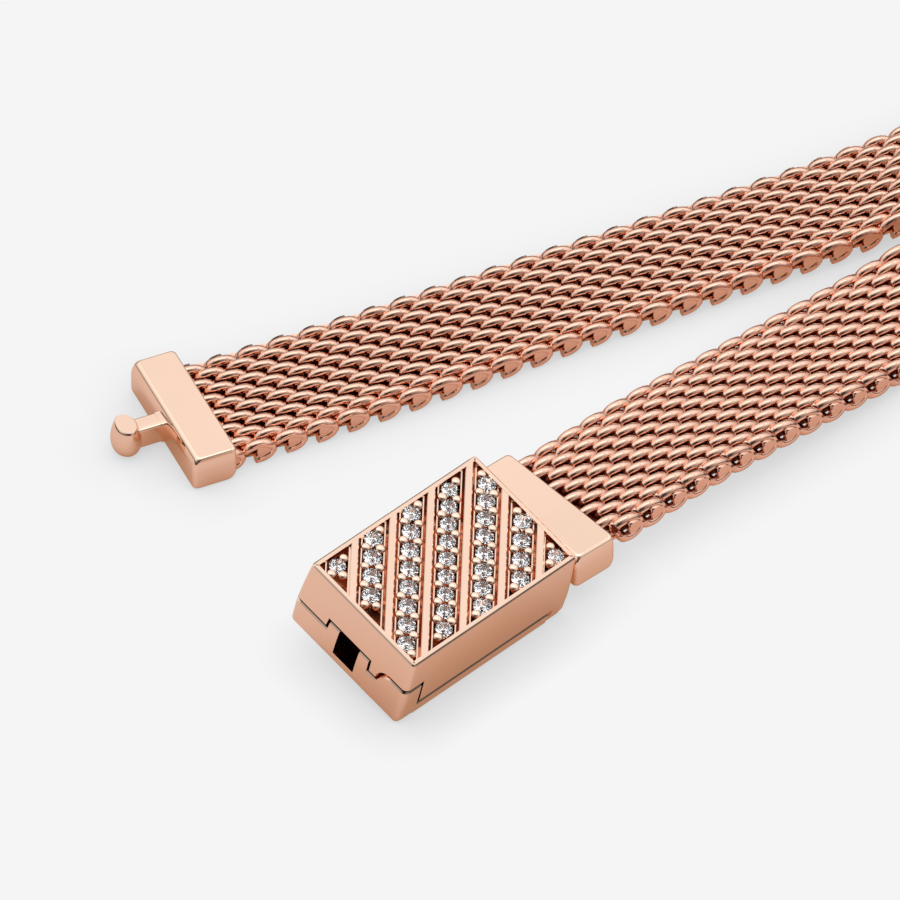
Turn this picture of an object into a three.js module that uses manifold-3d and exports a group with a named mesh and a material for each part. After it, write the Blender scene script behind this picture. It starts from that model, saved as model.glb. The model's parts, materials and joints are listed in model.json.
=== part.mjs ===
// Mesh bracelet, lying open on a flat surface. Millimetres, +Z up, the surface at z = 0.
// The woven band starts at an end cap with a stud, runs out, turns over onto its edge, goes round
// and comes back to a second end cap, which is linked into a box clasp with a field of small stones.
// Faces that meet keep a small clearance, so each named piece is a solid of its own.

import * as THREE from 'three';
import { mergeVertices } from 'three/addons/utils/BufferGeometryUtils.js';
import Module from 'manifold-3d';

const wasm = await Module();
wasm.setup();

// Woven band
const bandWidth = 8.2; // at the end caps
const bandSlack = 0.4; // narrower by this much where the weave is drawn out
const bandThickness = 1.5;
const bandEdge = 0.35; // bevel along the four long edges
const bandSteps = 72; // sections along the route
const bandGap = 0.3; // band to end cap
const onEdge = 90; // lean of the stretch that stands on its edge, in degrees

// End caps
const capWidth = 9.2;
const studCapLength = 2.5;
const claspCapLength = 2.75;
const capHeight = 2.27;
const capCorner = 0.3; // upright corners
const capEdge = 0.3; // rounding under the front and the two ends
const capFoot = 0.7; // rounding under the rear, where the band leaves
const capSwell = 0.3; // how far the front leans out under the top face
const capEndSwell = 0.14; // and the two ends

// Stud and its neck, the same neck on both caps
const neckWidth = 1.16;
const neckHeight = 1.4;
const neckLength = 1.72;
const neckRoot = 0.22; // step where the neck leaves the cap
const headLength = 1.8; // along the neck
const headWidth = 2.1; // across it
const headHeight = 2.05;
const headSides = 16;
const headSeat = 0.08; // how far the neck runs into the head's round side

// Box clasp
const claspLength = 13.0;
const claspWidth = 8.7;
const claspHeight = 5.7;
const claspCorner = 0.5; // plan corners at mid height
const claspEdge = 0.4; // rounding under the clasp
const claspBulge = 0.26; // how far the walls swell toward the underside
const claspCornerSteps = 4;
const claspWall = 0.95;
const topThickness = 1.5; // deck under the stones, with the recess
const floorThickness = 0.7;
const partingGap = 0.16;
const rearGap = 0.3; // door's rear face to the rear block, which it swings past
const doorSideHeight = 1.2; // door's side walls, above its underside
const doorFrontDepth = 1.12; // door's front wall, which wraps round both corners
const rearBlockDepth = 1.0; // stays with the case behind the door
const slotWidth = 1.7;
const slotHeight = 2.1;
const slotShift = 0.15; // slot and tab lie this far off the middle
const tabWidth = 3.35;
const tabDepth = 0.475; // tab's top edge, a share of the clasp's height down from its top
const shelfDepth = 0.6; // door's top edge beside the tab, as a share too
const crescentDepth = 0.445; // door's top edge at the near corner, as a share too
const crescentWidth = 1.95; // how far it reaches in from the near side
const linkOpeningWidth = 2.5;
const linkOpeningHeight = 2.3; // up from the knuckle, whose room it opens into
const linkHeadDiameter = 1.7;

// Door hinge
const pinRadius = 0.3;
const pinSides = 12;
const pinClearance = 0.08;
const pinInset = 0.55; // pin axis from the rear face and from the underside
const knuckleWidth = 4.0;
const knuckleRadius = 0.5;

// Stone field on the clasp
const rimWidth = 0.3;
const recessCorner = 0.15;
const recessDepth = 0.45;
const barWidth = 0.45;
const barSpacing = 2.15; // square to the bars
const barCount = 6;
const barShift = 0.16; // the pattern's middle, toward the rear and square to the bars
const endLaneShare = 0.87; // middle of the corner lanes past the last bar, a share of the spacing
const stoneDiameter = 1.08;
const stoneRise = 0.02; // tables above the bars
const tableShare = 0.56; // table's width, a share of the stone's
const girdleSides = 16;
const seatSides = 10;
const tableRise = 0.17; // girdle to table
const girdleHeight = 0.04;
const pavilionDepth = 0.44;
const seatClearance = 0.05;
const grainRadius = 0.24; // at its root
const grainTip = 0.19; // radius of its flat tip
const grainRise = 0.3;
const grainRoot = 0.1; // how far a grain is rooted in the deck
const grainSpread = 0.42; // a pair's middles lie this far off the row's middle
const grainSides = 6;
const grainClearance = 0.03;

// One row of stones for each lane between the bars, front to rear. from and to are shares of the
// lane's length, near end to far end; size is a share of stoneDiameter.
const stoneRows = [
  { count: 1, from: 0.61, to: 0.61, size: 0.94 },
  { count: 4, from: 0.26, to: 0.9, size: 1.03 },
  { count: 8, from: 0.072, to: 0.938, size: 1.0 },
  { count: 9, from: 0.081, to: 0.933, size: 0.93 },
  { count: 8, from: 0.076, to: 0.938, size: 1.0 },
  { count: 4, from: 0.15, to: 0.87, size: 1.0 },
  { count: 1, from: 0.5, to: 0.5, size: 0.88 },
];

// End cap from its underside up: level as a share of its height from the middle; foot, edge and
// swell as shares of capFoot, capEdge, and capSwell or capEndSwell.
const capSections = [
  { level: -0.5, foot: 0.85, edge: 1, swell: 1 },
  { level: -0.47, foot: 0.5, edge: 0.4, swell: 1 },
  { level: -0.39, foot: 0.2, edge: 0.05, swell: 1 },
  { level: -0.22, foot: 0, edge: 0, swell: 1 },
  { level: 0.22, foot: 0, edge: 0, swell: 0.95 },
  { level: 0.39, foot: 0, edge: 0, swell: 0.65 },
  { level: 0.47, foot: 0, edge: 0, swell: 0.25 },
  { level: 0.5, foot: 0.06, edge: 0.15, swell: 0 },
];

// Stud's head from its foot up: level as a share of its height, size as a share of its length and
// of its width.
const headSections = [
  { level: -0.5, length: 0.5, width: 0.5 },
  { level: -0.44, length: 0.72, width: 0.7 },
  { level: -0.3, length: 0.9, width: 0.88 },
  { level: -0.05, length: 1, width: 1 },
  { level: 0.22, length: 0.97, width: 1 },
  { level: 0.4, length: 0.86, width: 0.97 },
  { level: 0.47, length: 0.78, width: 0.94 },
  { level: 0.5, length: 0.7, width: 0.91 },
];

// Clasp body from its underside up: level as a share of the height from the middle; edge, bulge and
// corner as shares of claspEdge, claspBulge and claspCorner.
const claspSections = [
  { level: -0.5, edge: 1, bulge: 0.8, corner: 0.8 },
  { level: -0.48, edge: 0.45, bulge: 0.85, corner: 0.9 },
  { level: -0.44, edge: 0.1, bulge: 0.9, corner: 1 },
  { level: -0.38, edge: 0, bulge: 0.95, corner: 1 },
  { level: -0.15, edge: 0, bulge: 1, corner: 1 },
  { level: 0.03, edge: 0, bulge: 0.72, corner: 1 },
  { level: 0.25, edge: 0, bulge: 0.45, corner: 0.8 },
  { level: 0.42, edge: 0, bulge: 0.2, corner: 0.55 },
  { level: 0.48, edge: 0, bulge: 0.06, corner: 0.45 },
  { level: 0.5, edge: 0.2, bulge: 0, corner: 0.4 },
];

// Where the pieces lie, seen from above: middle of the piece, and heading in degrees
const studCapPlace = { x: -12.17, y: 9.47, heading: -8.6 };
const claspCapPlace = { x: -0.11, y: -10.19, heading: 8.5, lift: 1.6 };
const claspPlace = { x: -9.07, y: -12.66, heading: 11.6, roll: 15.7 };

// Route of the band's middle between the two caps. x runs toward the turned loop and y across it,
// both relative: the loop's reach and width set their real size. lean turns the band about its
// run, inner edge up; lift raises it off the surface; drawn is how far the weave is drawn out,
// from 0 to 1.
const loopReach = 69.1; // from the plan's origin to the middle of the band at the turned loop
const loopWidth = 19.2; // across the turned loop, between the band's middles
const routeTable = [
  { x: 0.3, y: 7.85, lean: 0, lift: 0, drawn: 0.4 },
  { x: 12, y: 6.62, lean: 0.5, lift: 0, drawn: 0.9 },
  { x: 23.5, y: 5.24, lean: 2, lift: 0, drawn: 1 },
  { x: 31.2, y: 4.46, lean: 4, lift: 0, drawn: 1 },
  { x: 37, y: 4.25, lean: 18, lift: 0, drawn: 1 },
  { x: 42.5, y: 4.8, lean: 46, lift: 0, drawn: 0.9 },
  { x: 48, y: 6.35, lean: 74, lift: 0, drawn: 0.8 },
  { x: 53.5, y: 8.6, lean: 88, lift: 0, drawn: 0.8 },
  { x: 59.5, y: 9.6, lean: onEdge, lift: 0, drawn: 0.8 },
  { x: 66.3, y: 6.8, lean: onEdge, lift: 0, drawn: 0.8 },
  { x: 69.1, y: 0, lean: onEdge, lift: 0, drawn: 0.8 },
  { x: 66.3, y: -6.8, lean: onEdge, lift: 0, drawn: 0.8 },
  { x: 59.5, y: -9.6, lean: onEdge, lift: 0, drawn: 0.8 },
  { x: 53.5, y: -8.6, lean: 88, lift: 0, drawn: 0.8 },
  { x: 48, y: -6.45, lean: 74, lift: 0, drawn: 0.8 },
  { x: 42.5, y: -5.0, lean: 46, lift: 0, drawn: 0.7 },
  { x: 37, y: -4.55, lean: 18, lift: 0, drawn: 0.6 },
  { x: 31.2, y: -4.9, lean: 4, lift: 0.05, drawn: 0.5 },
  { x: 25.3, y: -5.8, lean: 1, lift: 0.4, drawn: 0.4 },
  { x: 14.4, y: -7.6, lean: 0, lift: 1.4, drawn: 0.2 },
  { x: 8.2, y: -8.65, lean: 0, lift: 1.85, drawn: 0.1 },
];
const alongScale = loopReach / Math.max(...routeTable.map((row) => row.x));
const acrossScale = loopWidth / routeTable.reduce((widest, row) => Math.max(widest, 2 * row.y), 0);
const bandRoute = routeTable.map((row) => ({ ...row, x: row.x * alongScale, y: row.y * acrossScale }));

const past = 1; // how far a cut runs beyond the face that it opens
const UP = new THREE.Vector3(0, 0, 1);
const roseMetal = new THREE.MeshStandardMaterial({ color: 0xf2c0a4, roughness: 0.16, metalness: 1 });
const weaveMetal = new THREE.MeshStandardMaterial({ color: 0xd99a7a, roughness: 0.25, metalness: 1 });
const clearStone = new THREE.MeshStandardMaterial({ color: 0xf2f5f8, roughness: 0.03, metalness: 0 });

/** A solid for joining and cutting, from a closed three.js geometry. */
function toSolid(geometry) {
  const bare = geometry.clone();
  bare.deleteAttribute('normal');
  bare.deleteAttribute('uv');
  const merged = mergeVertices(bare, 1e-5);
  return new wasm.Manifold(new wasm.Mesh({
    numProp: 3,
    vertProperties: new Float32Array(merged.attributes.position.array),
    triVerts: new Uint32Array(merged.index.array),
  }));
}

/** The three.js geometry of a solid. */
function toGeometry(solid) {
  const mesh = solid.getMesh();
  const geometry = new THREE.BufferGeometry();
  geometry.setAttribute('position', new THREE.BufferAttribute(new Float32Array(mesh.vertProperties), 3));
  geometry.setIndex(new THREE.BufferAttribute(new Uint32Array(mesh.triVerts), 1));
  geometry.computeVertexNormals();
  return geometry;
}

/** Skins a row of rings with the same number of points, with a flat fan at each end. */
function loft(rings) {
  const size = rings[0].length;
  const faces = [];
  for (let k = 0; k + 1 < rings.length; k += 1) {
    for (let i = 0; i < size; i += 1) {
      const a = k * size + i;
      const b = k * size + ((i + 1) % size);
      faces.push(a, b, b + size, a, b + size, a + size);
    }
  }
  const last = (rings.length - 1) * size;
  for (let i = 1; i + 1 < size; i += 1) {
    faces.push(0, i + 1, i, last, last + i, last + i + 1);
  }
  const geometry = new THREE.BufferGeometry();
  const points = rings.flat().flatMap((point) => [point.x, point.y, point.z]);
  geometry.setAttribute('position', new THREE.Float32BufferAttribute(points, 3));
  geometry.setIndex(faces);
  geometry.computeVertexNormals();
  return geometry;
}

/** Points of a rectangle with round corners, counter-clockwise. */
function roundedOutline(length, width, radius, steps) {
  const points = [];
  const corners = [[1, 1, 0], [-1, 1, 1], [-1, -1, 2], [1, -1, 3]];
  for (const [sx, sy, quarter] of corners) {
    for (let i = 0; i <= steps; i += 1) {
      const angle = (Math.PI / 2) * (quarter + i / steps);
      const x = sx * (length / 2 - radius) + radius * Math.cos(angle);
      const y = sy * (width / 2 - radius) + radius * Math.sin(angle);
      points.push(new THREE.Vector2(x, y));
    }
  }
  return points;
}

/** A box between two corners, as a solid. */
function boxSolid(min, max) {
  const size = [max[0] - min[0], max[1] - min[1], max[2] - min[2]];
  const geometry = new THREE.BoxGeometry(...size);
  geometry.translate((min[0] + max[0]) / 2, (min[1] + max[1]) / 2, (min[2] + max[2]) / 2);
  return toSolid(geometry);
}

/** A cylinder along Y, as a solid. */
function barrelSolid(radius, length, x, z, sides) {
  const geometry = new THREE.CylinderGeometry(radius, radius, length, sides);
  geometry.translate(x, 0, z);
  return toSolid(geometry);
}

function namedMesh(name, geometry, material) {
  const mesh = new THREE.Mesh(geometry, material);
  mesh.name = name;
  return mesh;
}

/** Where a piece lies: turned to its heading, then rolled about its own length. */
function placement({ x, y, heading, roll = 0 }, z) {
  const turn = new THREE.Quaternion().setFromAxisAngle(UP, THREE.MathUtils.degToRad(heading));
  const tilt = new THREE.Quaternion().setFromAxisAngle(
    new THREE.Vector3(1, 0, 0), THREE.MathUtils.degToRad(roll));
  return new THREE.Matrix4().compose(
    new THREE.Vector3(x, y, z), turn.multiply(tilt), new THREE.Vector3(1, 1, 1));
}

// End caps

/** The block that the weave ends in: the band leaves at +X, the neck at -X. Middle at the origin. */
function capBlock(length) {
  const rings = capSections.map(({ level, foot, edge, swell }) => {
    const front = capSwell * swell - capEdge * edge;
    const rear = -capFoot * foot;
    const width = capWidth + 2 * (capEndSwell * swell - capEdge * edge);
    return roundedOutline(length + front + rear, width, capCorner, 3)
      .map((point) => new THREE.Vector3(point.x + (rear - front) / 2, point.y, level * capHeight));
  });
  return toSolid(loft(rings));
}

/** A bar of the neck's section from one point to another. */
function neckSolid(from, to, width, height) {
  const span = new THREE.Vector3().subVectors(to, from);
  const geometry = new THREE.BoxGeometry(span.length(), width, height);
  const turn = new THREE.Quaternion().setFromUnitVectors(
    new THREE.Vector3(1, 0, 0), span.clone().normalize());
  geometry.applyQuaternion(turn);
  const middle = new THREE.Vector3().addVectors(from, to).multiplyScalar(0.5);
  geometry.translate(middle.x, middle.y, middle.z);
  return toSolid(geometry);
}

/** The stud's head: oval across the neck, with a flat top and a narrower foot. */
function studHead() {
  const rings = headSections.map(({ level, length, width }) => (
    Array.from({ length: headSides }, (_, i) => {
      const angle = (2 * Math.PI * i) / headSides;
      const x = (headLength / 2) * length * Math.cos(angle);
      const y = (headWidth / 2) * width * Math.sin(angle);
      return new THREE.Vector3(x, y, level * headHeight);
    })));
  return toSolid(loft(rings));
}

/** Cap, neck and head soldered into one. head is the head's middle in the cap's own frame. */
function studdedCap(length, head, headSolid) {
  const root = new THREE.Vector3(-length / 2, 0, 0);
  const step = new THREE.Vector3().subVectors(head, root).setLength(capSwell + neckRoot).add(root);
  return capBlock(length)
    .add(neckSolid(root, head, neckWidth, neckHeight))
    .add(neckSolid(root, step, neckWidth + neckRoot, neckHeight + neckRoot))
    .add(headSolid.translate([head.x, head.y, head.z]));
}

// Woven band

/** Rows of the band's whole route, from the stud's cap to the clasp's cap. */
function bandLine() {
  const start = new THREE.Vector3(studCapLength / 2 + bandGap, 0, 0)
    .applyMatrix4(placement(studCapPlace, capHeight / 2));
  const claspCapMiddle = claspCapPlace.lift + capHeight / 2;
  const finish = new THREE.Vector3(claspCapLength / 2 + bandGap, 0, 0)
    .applyMatrix4(placement(claspCapPlace, claspCapMiddle));
  const first = { x: start.x, y: start.y, lean: 0, lift: 0, drawn: 0 };
  const last = { x: finish.x, y: finish.y, lean: 0, lift: claspCapMiddle - bandThickness / 2, drawn: 0 };
  return [first, ...bandRoute, last];
}

/** The band as one ribbon, eight-sided in section. */
function wovenBand() {
  const rows = bandLine();
  const path = new THREE.CatmullRomCurve3(
    rows.map((row) => new THREE.Vector3(row.x, row.y, 0)), false, 'centripetal');
  const attitude = new THREE.CatmullRomCurve3(
    rows.map((row) => new THREE.Vector3(row.lean, row.lift, row.drawn)), false, 'catmullrom');
  const rings = [];
  for (let k = 0; k <= bandSteps; k += 1) {
    const share = path.getUtoTmapping(k / bandSteps);
    const [lean, lift, drawn] = attitude.getPoint(share).toArray().map((value) => Math.max(value, 0));
    const angle = THREE.MathUtils.degToRad(Math.min(lean, onEdge));
    const width = bandWidth - bandSlack * drawn;
    const forward = path.getTangent(share).setZ(0).normalize();
    const left = new THREE.Vector3().crossVectors(UP, forward);
    const across = left.clone().multiplyScalar(Math.cos(angle)).addScaledVector(UP, -Math.sin(angle));
    const face = UP.clone().multiplyScalar(Math.cos(angle)).addScaledVector(left, Math.sin(angle));
    const middle = path.getPoint(share);
    middle.z = lift + (width / 2) * Math.sin(angle) + (bandThickness / 2) * Math.cos(angle);
    const w = width / 2;
    const t = bandThickness / 2;
    const section = [
      [w, -t + bandEdge], [w, t - bandEdge], [w - bandEdge, t], [-w + bandEdge, t],
      [-w, t - bandEdge], [-w, -t + bandEdge], [-w + bandEdge, -t], [w - bandEdge, -t],
    ];
    rings.push(section.map(([u, v]) => (
      middle.clone().addScaledVector(across, u).addScaledVector(face, v))));
  }
  return loft(rings);
}

// Box clasp, in its own frame: -X is the front with the slot, +X the rear, +Y the far side,
// the origin in its middle

/** The whole outside of the clasp, before it is parted into case and door. */
function claspBlock() {
  const rings = claspSections.map(({ level, edge, bulge, corner }) => {
    const grow = claspBulge * bulge - claspEdge * edge;
    const [length, width] = [claspLength + 2 * grow, claspWidth + 2 * grow];
    return roundedOutline(length, width, claspCorner * corner, claspCornerSteps)
      .map((point) => new THREE.Vector3(point.x, point.y, level * claspHeight));
  });
  return toSolid(loft(rings));
}

/** Height of a share of the clasp's height, measured down from its top. */
function depthLevel(share) {
  return claspHeight * (0.5 - share);
}

/** The part of the clasp that belongs to the door, grown by a gap where the case is cut, up to rear. */
function doorRegion(gap, rear) {
  const half = claspWidth / 2 + past;
  const under = -claspHeight / 2 - past;
  const front = -claspLength / 2;
  const shelf = depthLevel(shelfDepth) + gap;
  const nearShelf = shelf - partingGap;
  const tabTop = depthLevel(tabDepth) + gap;
  const tabFar = slotShift + tabWidth / 2 + gap;
  const tabNear = slotShift - tabWidth / 2 - gap;
  const crescent = -claspWidth / 2 + crescentWidth + gap;
  const crescentTop = depthLevel(crescentDepth) + gap;
  const outline = new THREE.Shape();
  outline.moveTo(half, under);
  outline.lineTo(half, shelf);
  outline.lineTo(tabFar, shelf);
  outline.lineTo(tabFar, tabTop);
  outline.lineTo(tabNear, tabTop);
  outline.lineTo(tabNear, nearShelf);
  outline.lineTo(crescent, nearShelf);
  outline.quadraticCurveTo(crescent - crescentWidth * 0.18, crescentTop,
    crescent - crescentWidth / 2, crescentTop);
  outline.lineTo(-half, crescentTop);
  outline.lineTo(-half, under);
  outline.closePath();
  const depth = doorFrontDepth + gap + past;
  const wall = new THREE.ExtrudeGeometry(outline, { depth, bevelEnabled: false, curveSegments: 5 });
  wall.rotateX(Math.PI / 2).rotateZ(Math.PI / 2);
  wall.computeBoundingBox();
  wall.translate(front - past - wall.boundingBox.min.x, 0, 0);
  const top = -claspHeight / 2 + doorSideHeight + gap;
  const tray = boxSolid([front - past, -half, under], [rear, half, top]);
  return toSolid(wall).add(tray);
}

/** The hollow inside the clasp. */
function claspHollow() {
  const x = claspLength / 2 - claspWall;
  const y = claspWidth / 2 - claspWall;
  const low = -claspHeight / 2 + floorThickness;
  const high = claspHeight / 2 - topThickness;
  return boxSolid([-claspLength / 2 + doorFrontDepth, -y, low], [x, y, high]);
}

const pinX = claspLength / 2 - pinInset;
const pinZ = -claspHeight / 2 + pinInset;
const boreLength = claspWidth - 2 * claspEdge;
const pinLength = boreLength - 2 * partingGap;
const linkOpeningFloor = pinZ + knuckleRadius;
const linkOpeningTop = linkOpeningFloor + linkOpeningHeight;
const rearBlockFront = claspLength / 2 - rearBlockDepth;

/** Seats in the case for the door's knuckle and the pin, and the rear opening for the link. */
function caseCuts() {
  const half = knuckleWidth / 2 + partingGap;
  const room = knuckleRadius + partingGap;
  const rear = claspLength / 2;
  const knuckleRoom = boxSolid([pinX - pinInset - rearBlockDepth, -half, -claspHeight / 2 - past],
    [rear + past, half, pinZ + room]);
  const bore = barrelSolid(pinRadius + pinClearance, boreLength, pinX, pinZ, pinSides);
  const opening = boxSolid([rear - claspWall - past, -linkOpeningWidth / 2, linkOpeningFloor],
    [rear + past, linkOpeningWidth / 2, linkOpeningTop]);
  return knuckleRoom.add(bore).add(opening);
}

/** Middles of the bars, measured square to them from the clasp's middle. */
function barOffsets() {
  return Array.from({ length: barCount }, (_, k) => barShift + barSpacing * (k - (barCount - 1) / 2));
}

/** The two ends of a lane through the recess, given its middle's offset square to the bars. */
function laneEnds(offset) {
  const halfX = claspLength / 2 - rimWidth;
  const halfY = claspWidth / 2 - rimWidth;
  const shift = offset * Math.SQRT2;
  const from = Math.max(-halfX, -halfY + shift);
  const to = Math.min(halfX, halfY + shift);
  return [new THREE.Vector2(from, from - shift), new THREE.Vector2(to, to - shift)];
}

/** Every stone's place and size, row by row. */
function stoneLayout() {
  const bars = barOffsets();
  return stoneRows.flatMap((row, r) => {
    const before = r === 0 ? bars[0] - barSpacing * endLaneShare : bars[r - 1];
    const after = r === stoneRows.length - 1 ? bars[r - 1] + barSpacing * endLaneShare : bars[r];
    const [near, far] = laneEnds((before + after) / 2);
    return Array.from({ length: row.count }, (_, i) => {
      const part = row.count === 1 ? 0 : i / (row.count - 1);
      const place = near.clone().lerp(far, row.from + (row.to - row.from) * part);
      return { row: r, index: i, last: row.count - 1, place, radius: (stoneDiameter / 2) * row.size };
    });
  });
}

/** Depth of a stone under its girdle's top edge. */
function stoneDepth(radius) {
  return girdleHeight + (pavilionDepth * radius) / (stoneDiameter / 2);
}

const deckZ = claspHeight / 2 - recessDepth;
const girdleZ = claspHeight / 2 + stoneRise - tableRise;

/** The sunk field round the stones: a shallow box less the bars that are left standing. */
function recessCut() {
  const outline = roundedOutline(claspLength - 2 * rimWidth, claspWidth - 2 * rimWidth, recessCorner, 2);
  const levels = [deckZ, claspHeight / 2 + past];
  const field = toSolid(loft(levels.map((z) => outline.map((p) => new THREE.Vector3(p.x, p.y, z)))));
  return barOffsets().reduce((cut, offset) => {
    const bar = new THREE.BoxGeometry(claspLength + claspWidth, barWidth, 2 * claspHeight);
    bar.translate(0, -offset, 0);
    bar.rotateZ(Math.PI / 4);
    return cut.subtract(toSolid(bar));
  }, field);
}

/** A tapered seat for one stone: straight past the girdle, then a cone under the pavilion. */
function stoneSeat({ place, radius }) {
  const wide = radius + seatClearance;
  const mouth = recessDepth;
  const depth = stoneDepth(radius) + 2 * seatClearance;
  const profile = [[0, -depth], [wide, -girdleHeight - seatClearance], [wide, mouth], [0, mouth]]
    .map(([x, y]) => new THREE.Vector2(x, y));
  const seat = new THREE.LatheGeometry(profile, seatSides);
  seat.rotateX(Math.PI / 2);
  seat.translate(place.x, place.y, girdleZ);
  return toSolid(seat);
}

/** Grains of metal that hold the stones: a pair between neighbours, and pairs at a row's ends. */
function grainLayout(stones) {
  const along = new THREE.Vector2(1, 1).normalize();
  const square = new THREE.Vector2(-1, 1).normalize();
  const grains = [];
  stones.forEach((stone, i) => {
    const next = stones[i + 1];
    if (next && next.row === stone.row) {
      const middle = stone.place.clone().lerp(next.place, 0.5);
      for (const sign of [-1, 1]) {
        grains.push(middle.clone().addScaledVector(square, sign * grainSpread));
      }
    }
    const reach = stone.radius + grainRadius + grainClearance;
    if (stone.index === 0) {
      grains.push(stone.place.clone().addScaledVector(along, -reach));
    }
    if (stone.index === stone.last) {
      grains.push(stone.place.clone().addScaledVector(along, reach));
    }
  });
  return grains;
}

/** One grain: a small peg with a domed top, rooted in the deck. */
function grainSolid(place) {
  const grain = new THREE.CylinderGeometry(grainTip, grainRadius, grainRise + grainRoot, grainSides);
  grain.rotateX(Math.PI / 2);
  grain.translate(place.x, place.y, deckZ + (grainRise - grainRoot) / 2);
  return toSolid(grain);
}

/** Upper part of the clasp: tall walls, the deck with its bars and grains, and the rear block. */
function claspCase(stones) {
  const halfX = claspLength / 2 - rimWidth - grainRadius;
  const halfY = claspWidth / 2 - rimWidth - grainRadius;
  const clearOfStones = (place) => stones.every((stone) => (
    stone.place.distanceTo(place) > stone.radius + grainTip + grainClearance));
  const grains = grainLayout(stones)
    .filter((place) => Math.abs(place.x) < halfX && Math.abs(place.y) < halfY)
    .filter(clearOfStones);
  let solid = claspBlock().subtract(doorRegion(partingGap, rearBlockFront)).subtract(claspHollow());
  solid = solid.subtract(caseCuts()).subtract(recessCut());
  for (const place of grains) {
    solid = solid.add(grainSolid(place));
  }
  for (const stone of stones) {
    solid = solid.subtract(stoneSeat(stone));
  }
  return solid;
}

/** Lower part of the clasp: a shallow tray with the slotted front wall and the hinge knuckle. */
function claspDoor() {
  const slotTop = depthLevel(tabDepth) + past;
  const slotFloor = depthLevel(tabDepth) - slotHeight;
  const slot = boxSolid([-claspLength, slotShift - slotWidth / 2, slotFloor],
    [-claspLength / 2 + 2 * doorFrontDepth, slotShift + slotWidth / 2, slotTop]);
  const width = knuckleWidth - 2 * pinClearance;
  const arm = boxSolid([pinX - rearBlockDepth, -width / 2, pinZ - knuckleRadius],
    [pinX, width / 2, pinZ + knuckleRadius / 2]);
  const bore = barrelSolid(pinRadius + pinClearance, claspWidth, pinX, pinZ, pinSides);
  return claspBlock()
    .intersect(doorRegion(0, rearBlockFront - rearGap))
    .subtract(claspHollow())
    .subtract(slot)
    .add(arm)
    .add(barrelSolid(knuckleRadius, width, pinX, pinZ, pinSides))
    .subtract(bore);
}

/** A round brilliant: a table with half as many sides as the girdle, crown and pavilion facets. */
function brilliant(radius) {
  const tableSides = girdleSides / 2;
  const points = [];
  const ring = (count, r, z) => {
    for (let i = 0; i < count; i += 1) {
      const angle = (2 * Math.PI * i) / count;
      points.push(r * Math.cos(angle), r * Math.sin(angle), z);
    }
  };
  ring(tableSides, radius * tableShare, tableRise);
  ring(girdleSides, radius, 0);
  ring(girdleSides, radius, -girdleHeight);
  points.push(0, 0, -stoneDepth(radius));
  const point = tableSides + 2 * girdleSides;
  const girdle = (i) => tableSides + (i % girdleSides);
  const faces = [];
  for (let k = 0; k < tableSides; k += 1) {
    const next = (k + 1) % tableSides;
    const [a, b, c] = [girdle(2 * k), girdle(2 * k + 1), girdle(2 * k + 2)];
    faces.push(k, a, b, k, b, next, next, b, c);
  }
  for (let i = 0; i < girdleSides; i += 1) {
    const [a, b] = [girdle(i), girdle(i + 1)];
    faces.push(a, a + girdleSides, b + girdleSides, a, b + girdleSides, b);
    faces.push(a + girdleSides, point, b + girdleSides);
  }
  for (let i = 1; i < tableSides - 1; i += 1) {
    faces.push(0, i, i + 1);
  }
  const geometry = new THREE.BufferGeometry();
  geometry.setAttribute('position', new THREE.Float32BufferAttribute(points, 3));
  geometry.setIndex(faces);
  geometry.computeVertexNormals();
  return geometry;
}

// The whole bracelet

const bracelet = new THREE.Group();

const studCap = new THREE.Group();
studCap.applyMatrix4(placement(studCapPlace, capHeight / 2));
const headX = -studCapLength / 2 - neckLength - headLength / 2 + headSeat;
const studded = studdedCap(studCapLength, new THREE.Vector3(headX, 0, 0), studHead());
studCap.add(namedMesh('stud_end_cap', toGeometry(studded), roseMetal));
bracelet.add(studCap);

bracelet.add(namedMesh('mesh_band', wovenBand(), weaveMetal));

const stones = stoneLayout();
const roll = THREE.MathUtils.degToRad(claspPlace.roll);
const caseSolid = claspCase(stones);
const doorSolid = claspDoor();
const rolled = (solid) => {
  const geometry = toGeometry(solid);
  geometry.rotateX(roll);
  geometry.computeBoundingBox();
  return geometry.boundingBox.min.z;
};
const claspMatrix = placement(claspPlace, -Math.min(rolled(caseSolid), rolled(doorSolid)));
const clasp = new THREE.Group();
clasp.applyMatrix4(claspMatrix);
clasp.add(namedMesh('clasp_case', toGeometry(caseSolid), roseMetal));
clasp.add(namedMesh('clasp_door', toGeometry(doorSolid), roseMetal));
const pin = new THREE.CylinderGeometry(pinRadius, pinRadius, pinLength, pinSides);
pin.translate(pinX, 0, pinZ);
clasp.add(namedMesh('hinge_pin', pin, roseMetal));
for (const stone of stones) {
  const mesh = namedMesh(`stone_${stone.row + 1}_${stone.index + 1}`, brilliant(stone.radius), clearStone);
  mesh.position.set(stone.place.x, stone.place.y, girdleZ);
  clasp.add(mesh);
}
bracelet.add(clasp);

const capMatrix = placement(claspCapPlace, claspCapPlace.lift + capHeight / 2);
const linkPlace = new THREE.Vector3(
  claspLength / 2 - claspWall - linkHeadDiameter / 2 - pinClearance, 0,
  (linkOpeningFloor + linkOpeningTop) / 2)
  .applyMatrix4(claspMatrix)
  .applyMatrix4(capMatrix.clone().invert());
const claspCap = new THREE.Group();
claspCap.applyMatrix4(capMatrix);
const linkHead = toSolid(new THREE.SphereGeometry(linkHeadDiameter / 2, 12, 8));
const linked = studdedCap(claspCapLength, linkPlace, linkHead);
claspCap.add(namedMesh('clasp_end_cap', toGeometry(linked), roseMetal));
bracelet.add(claspCap);

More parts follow.
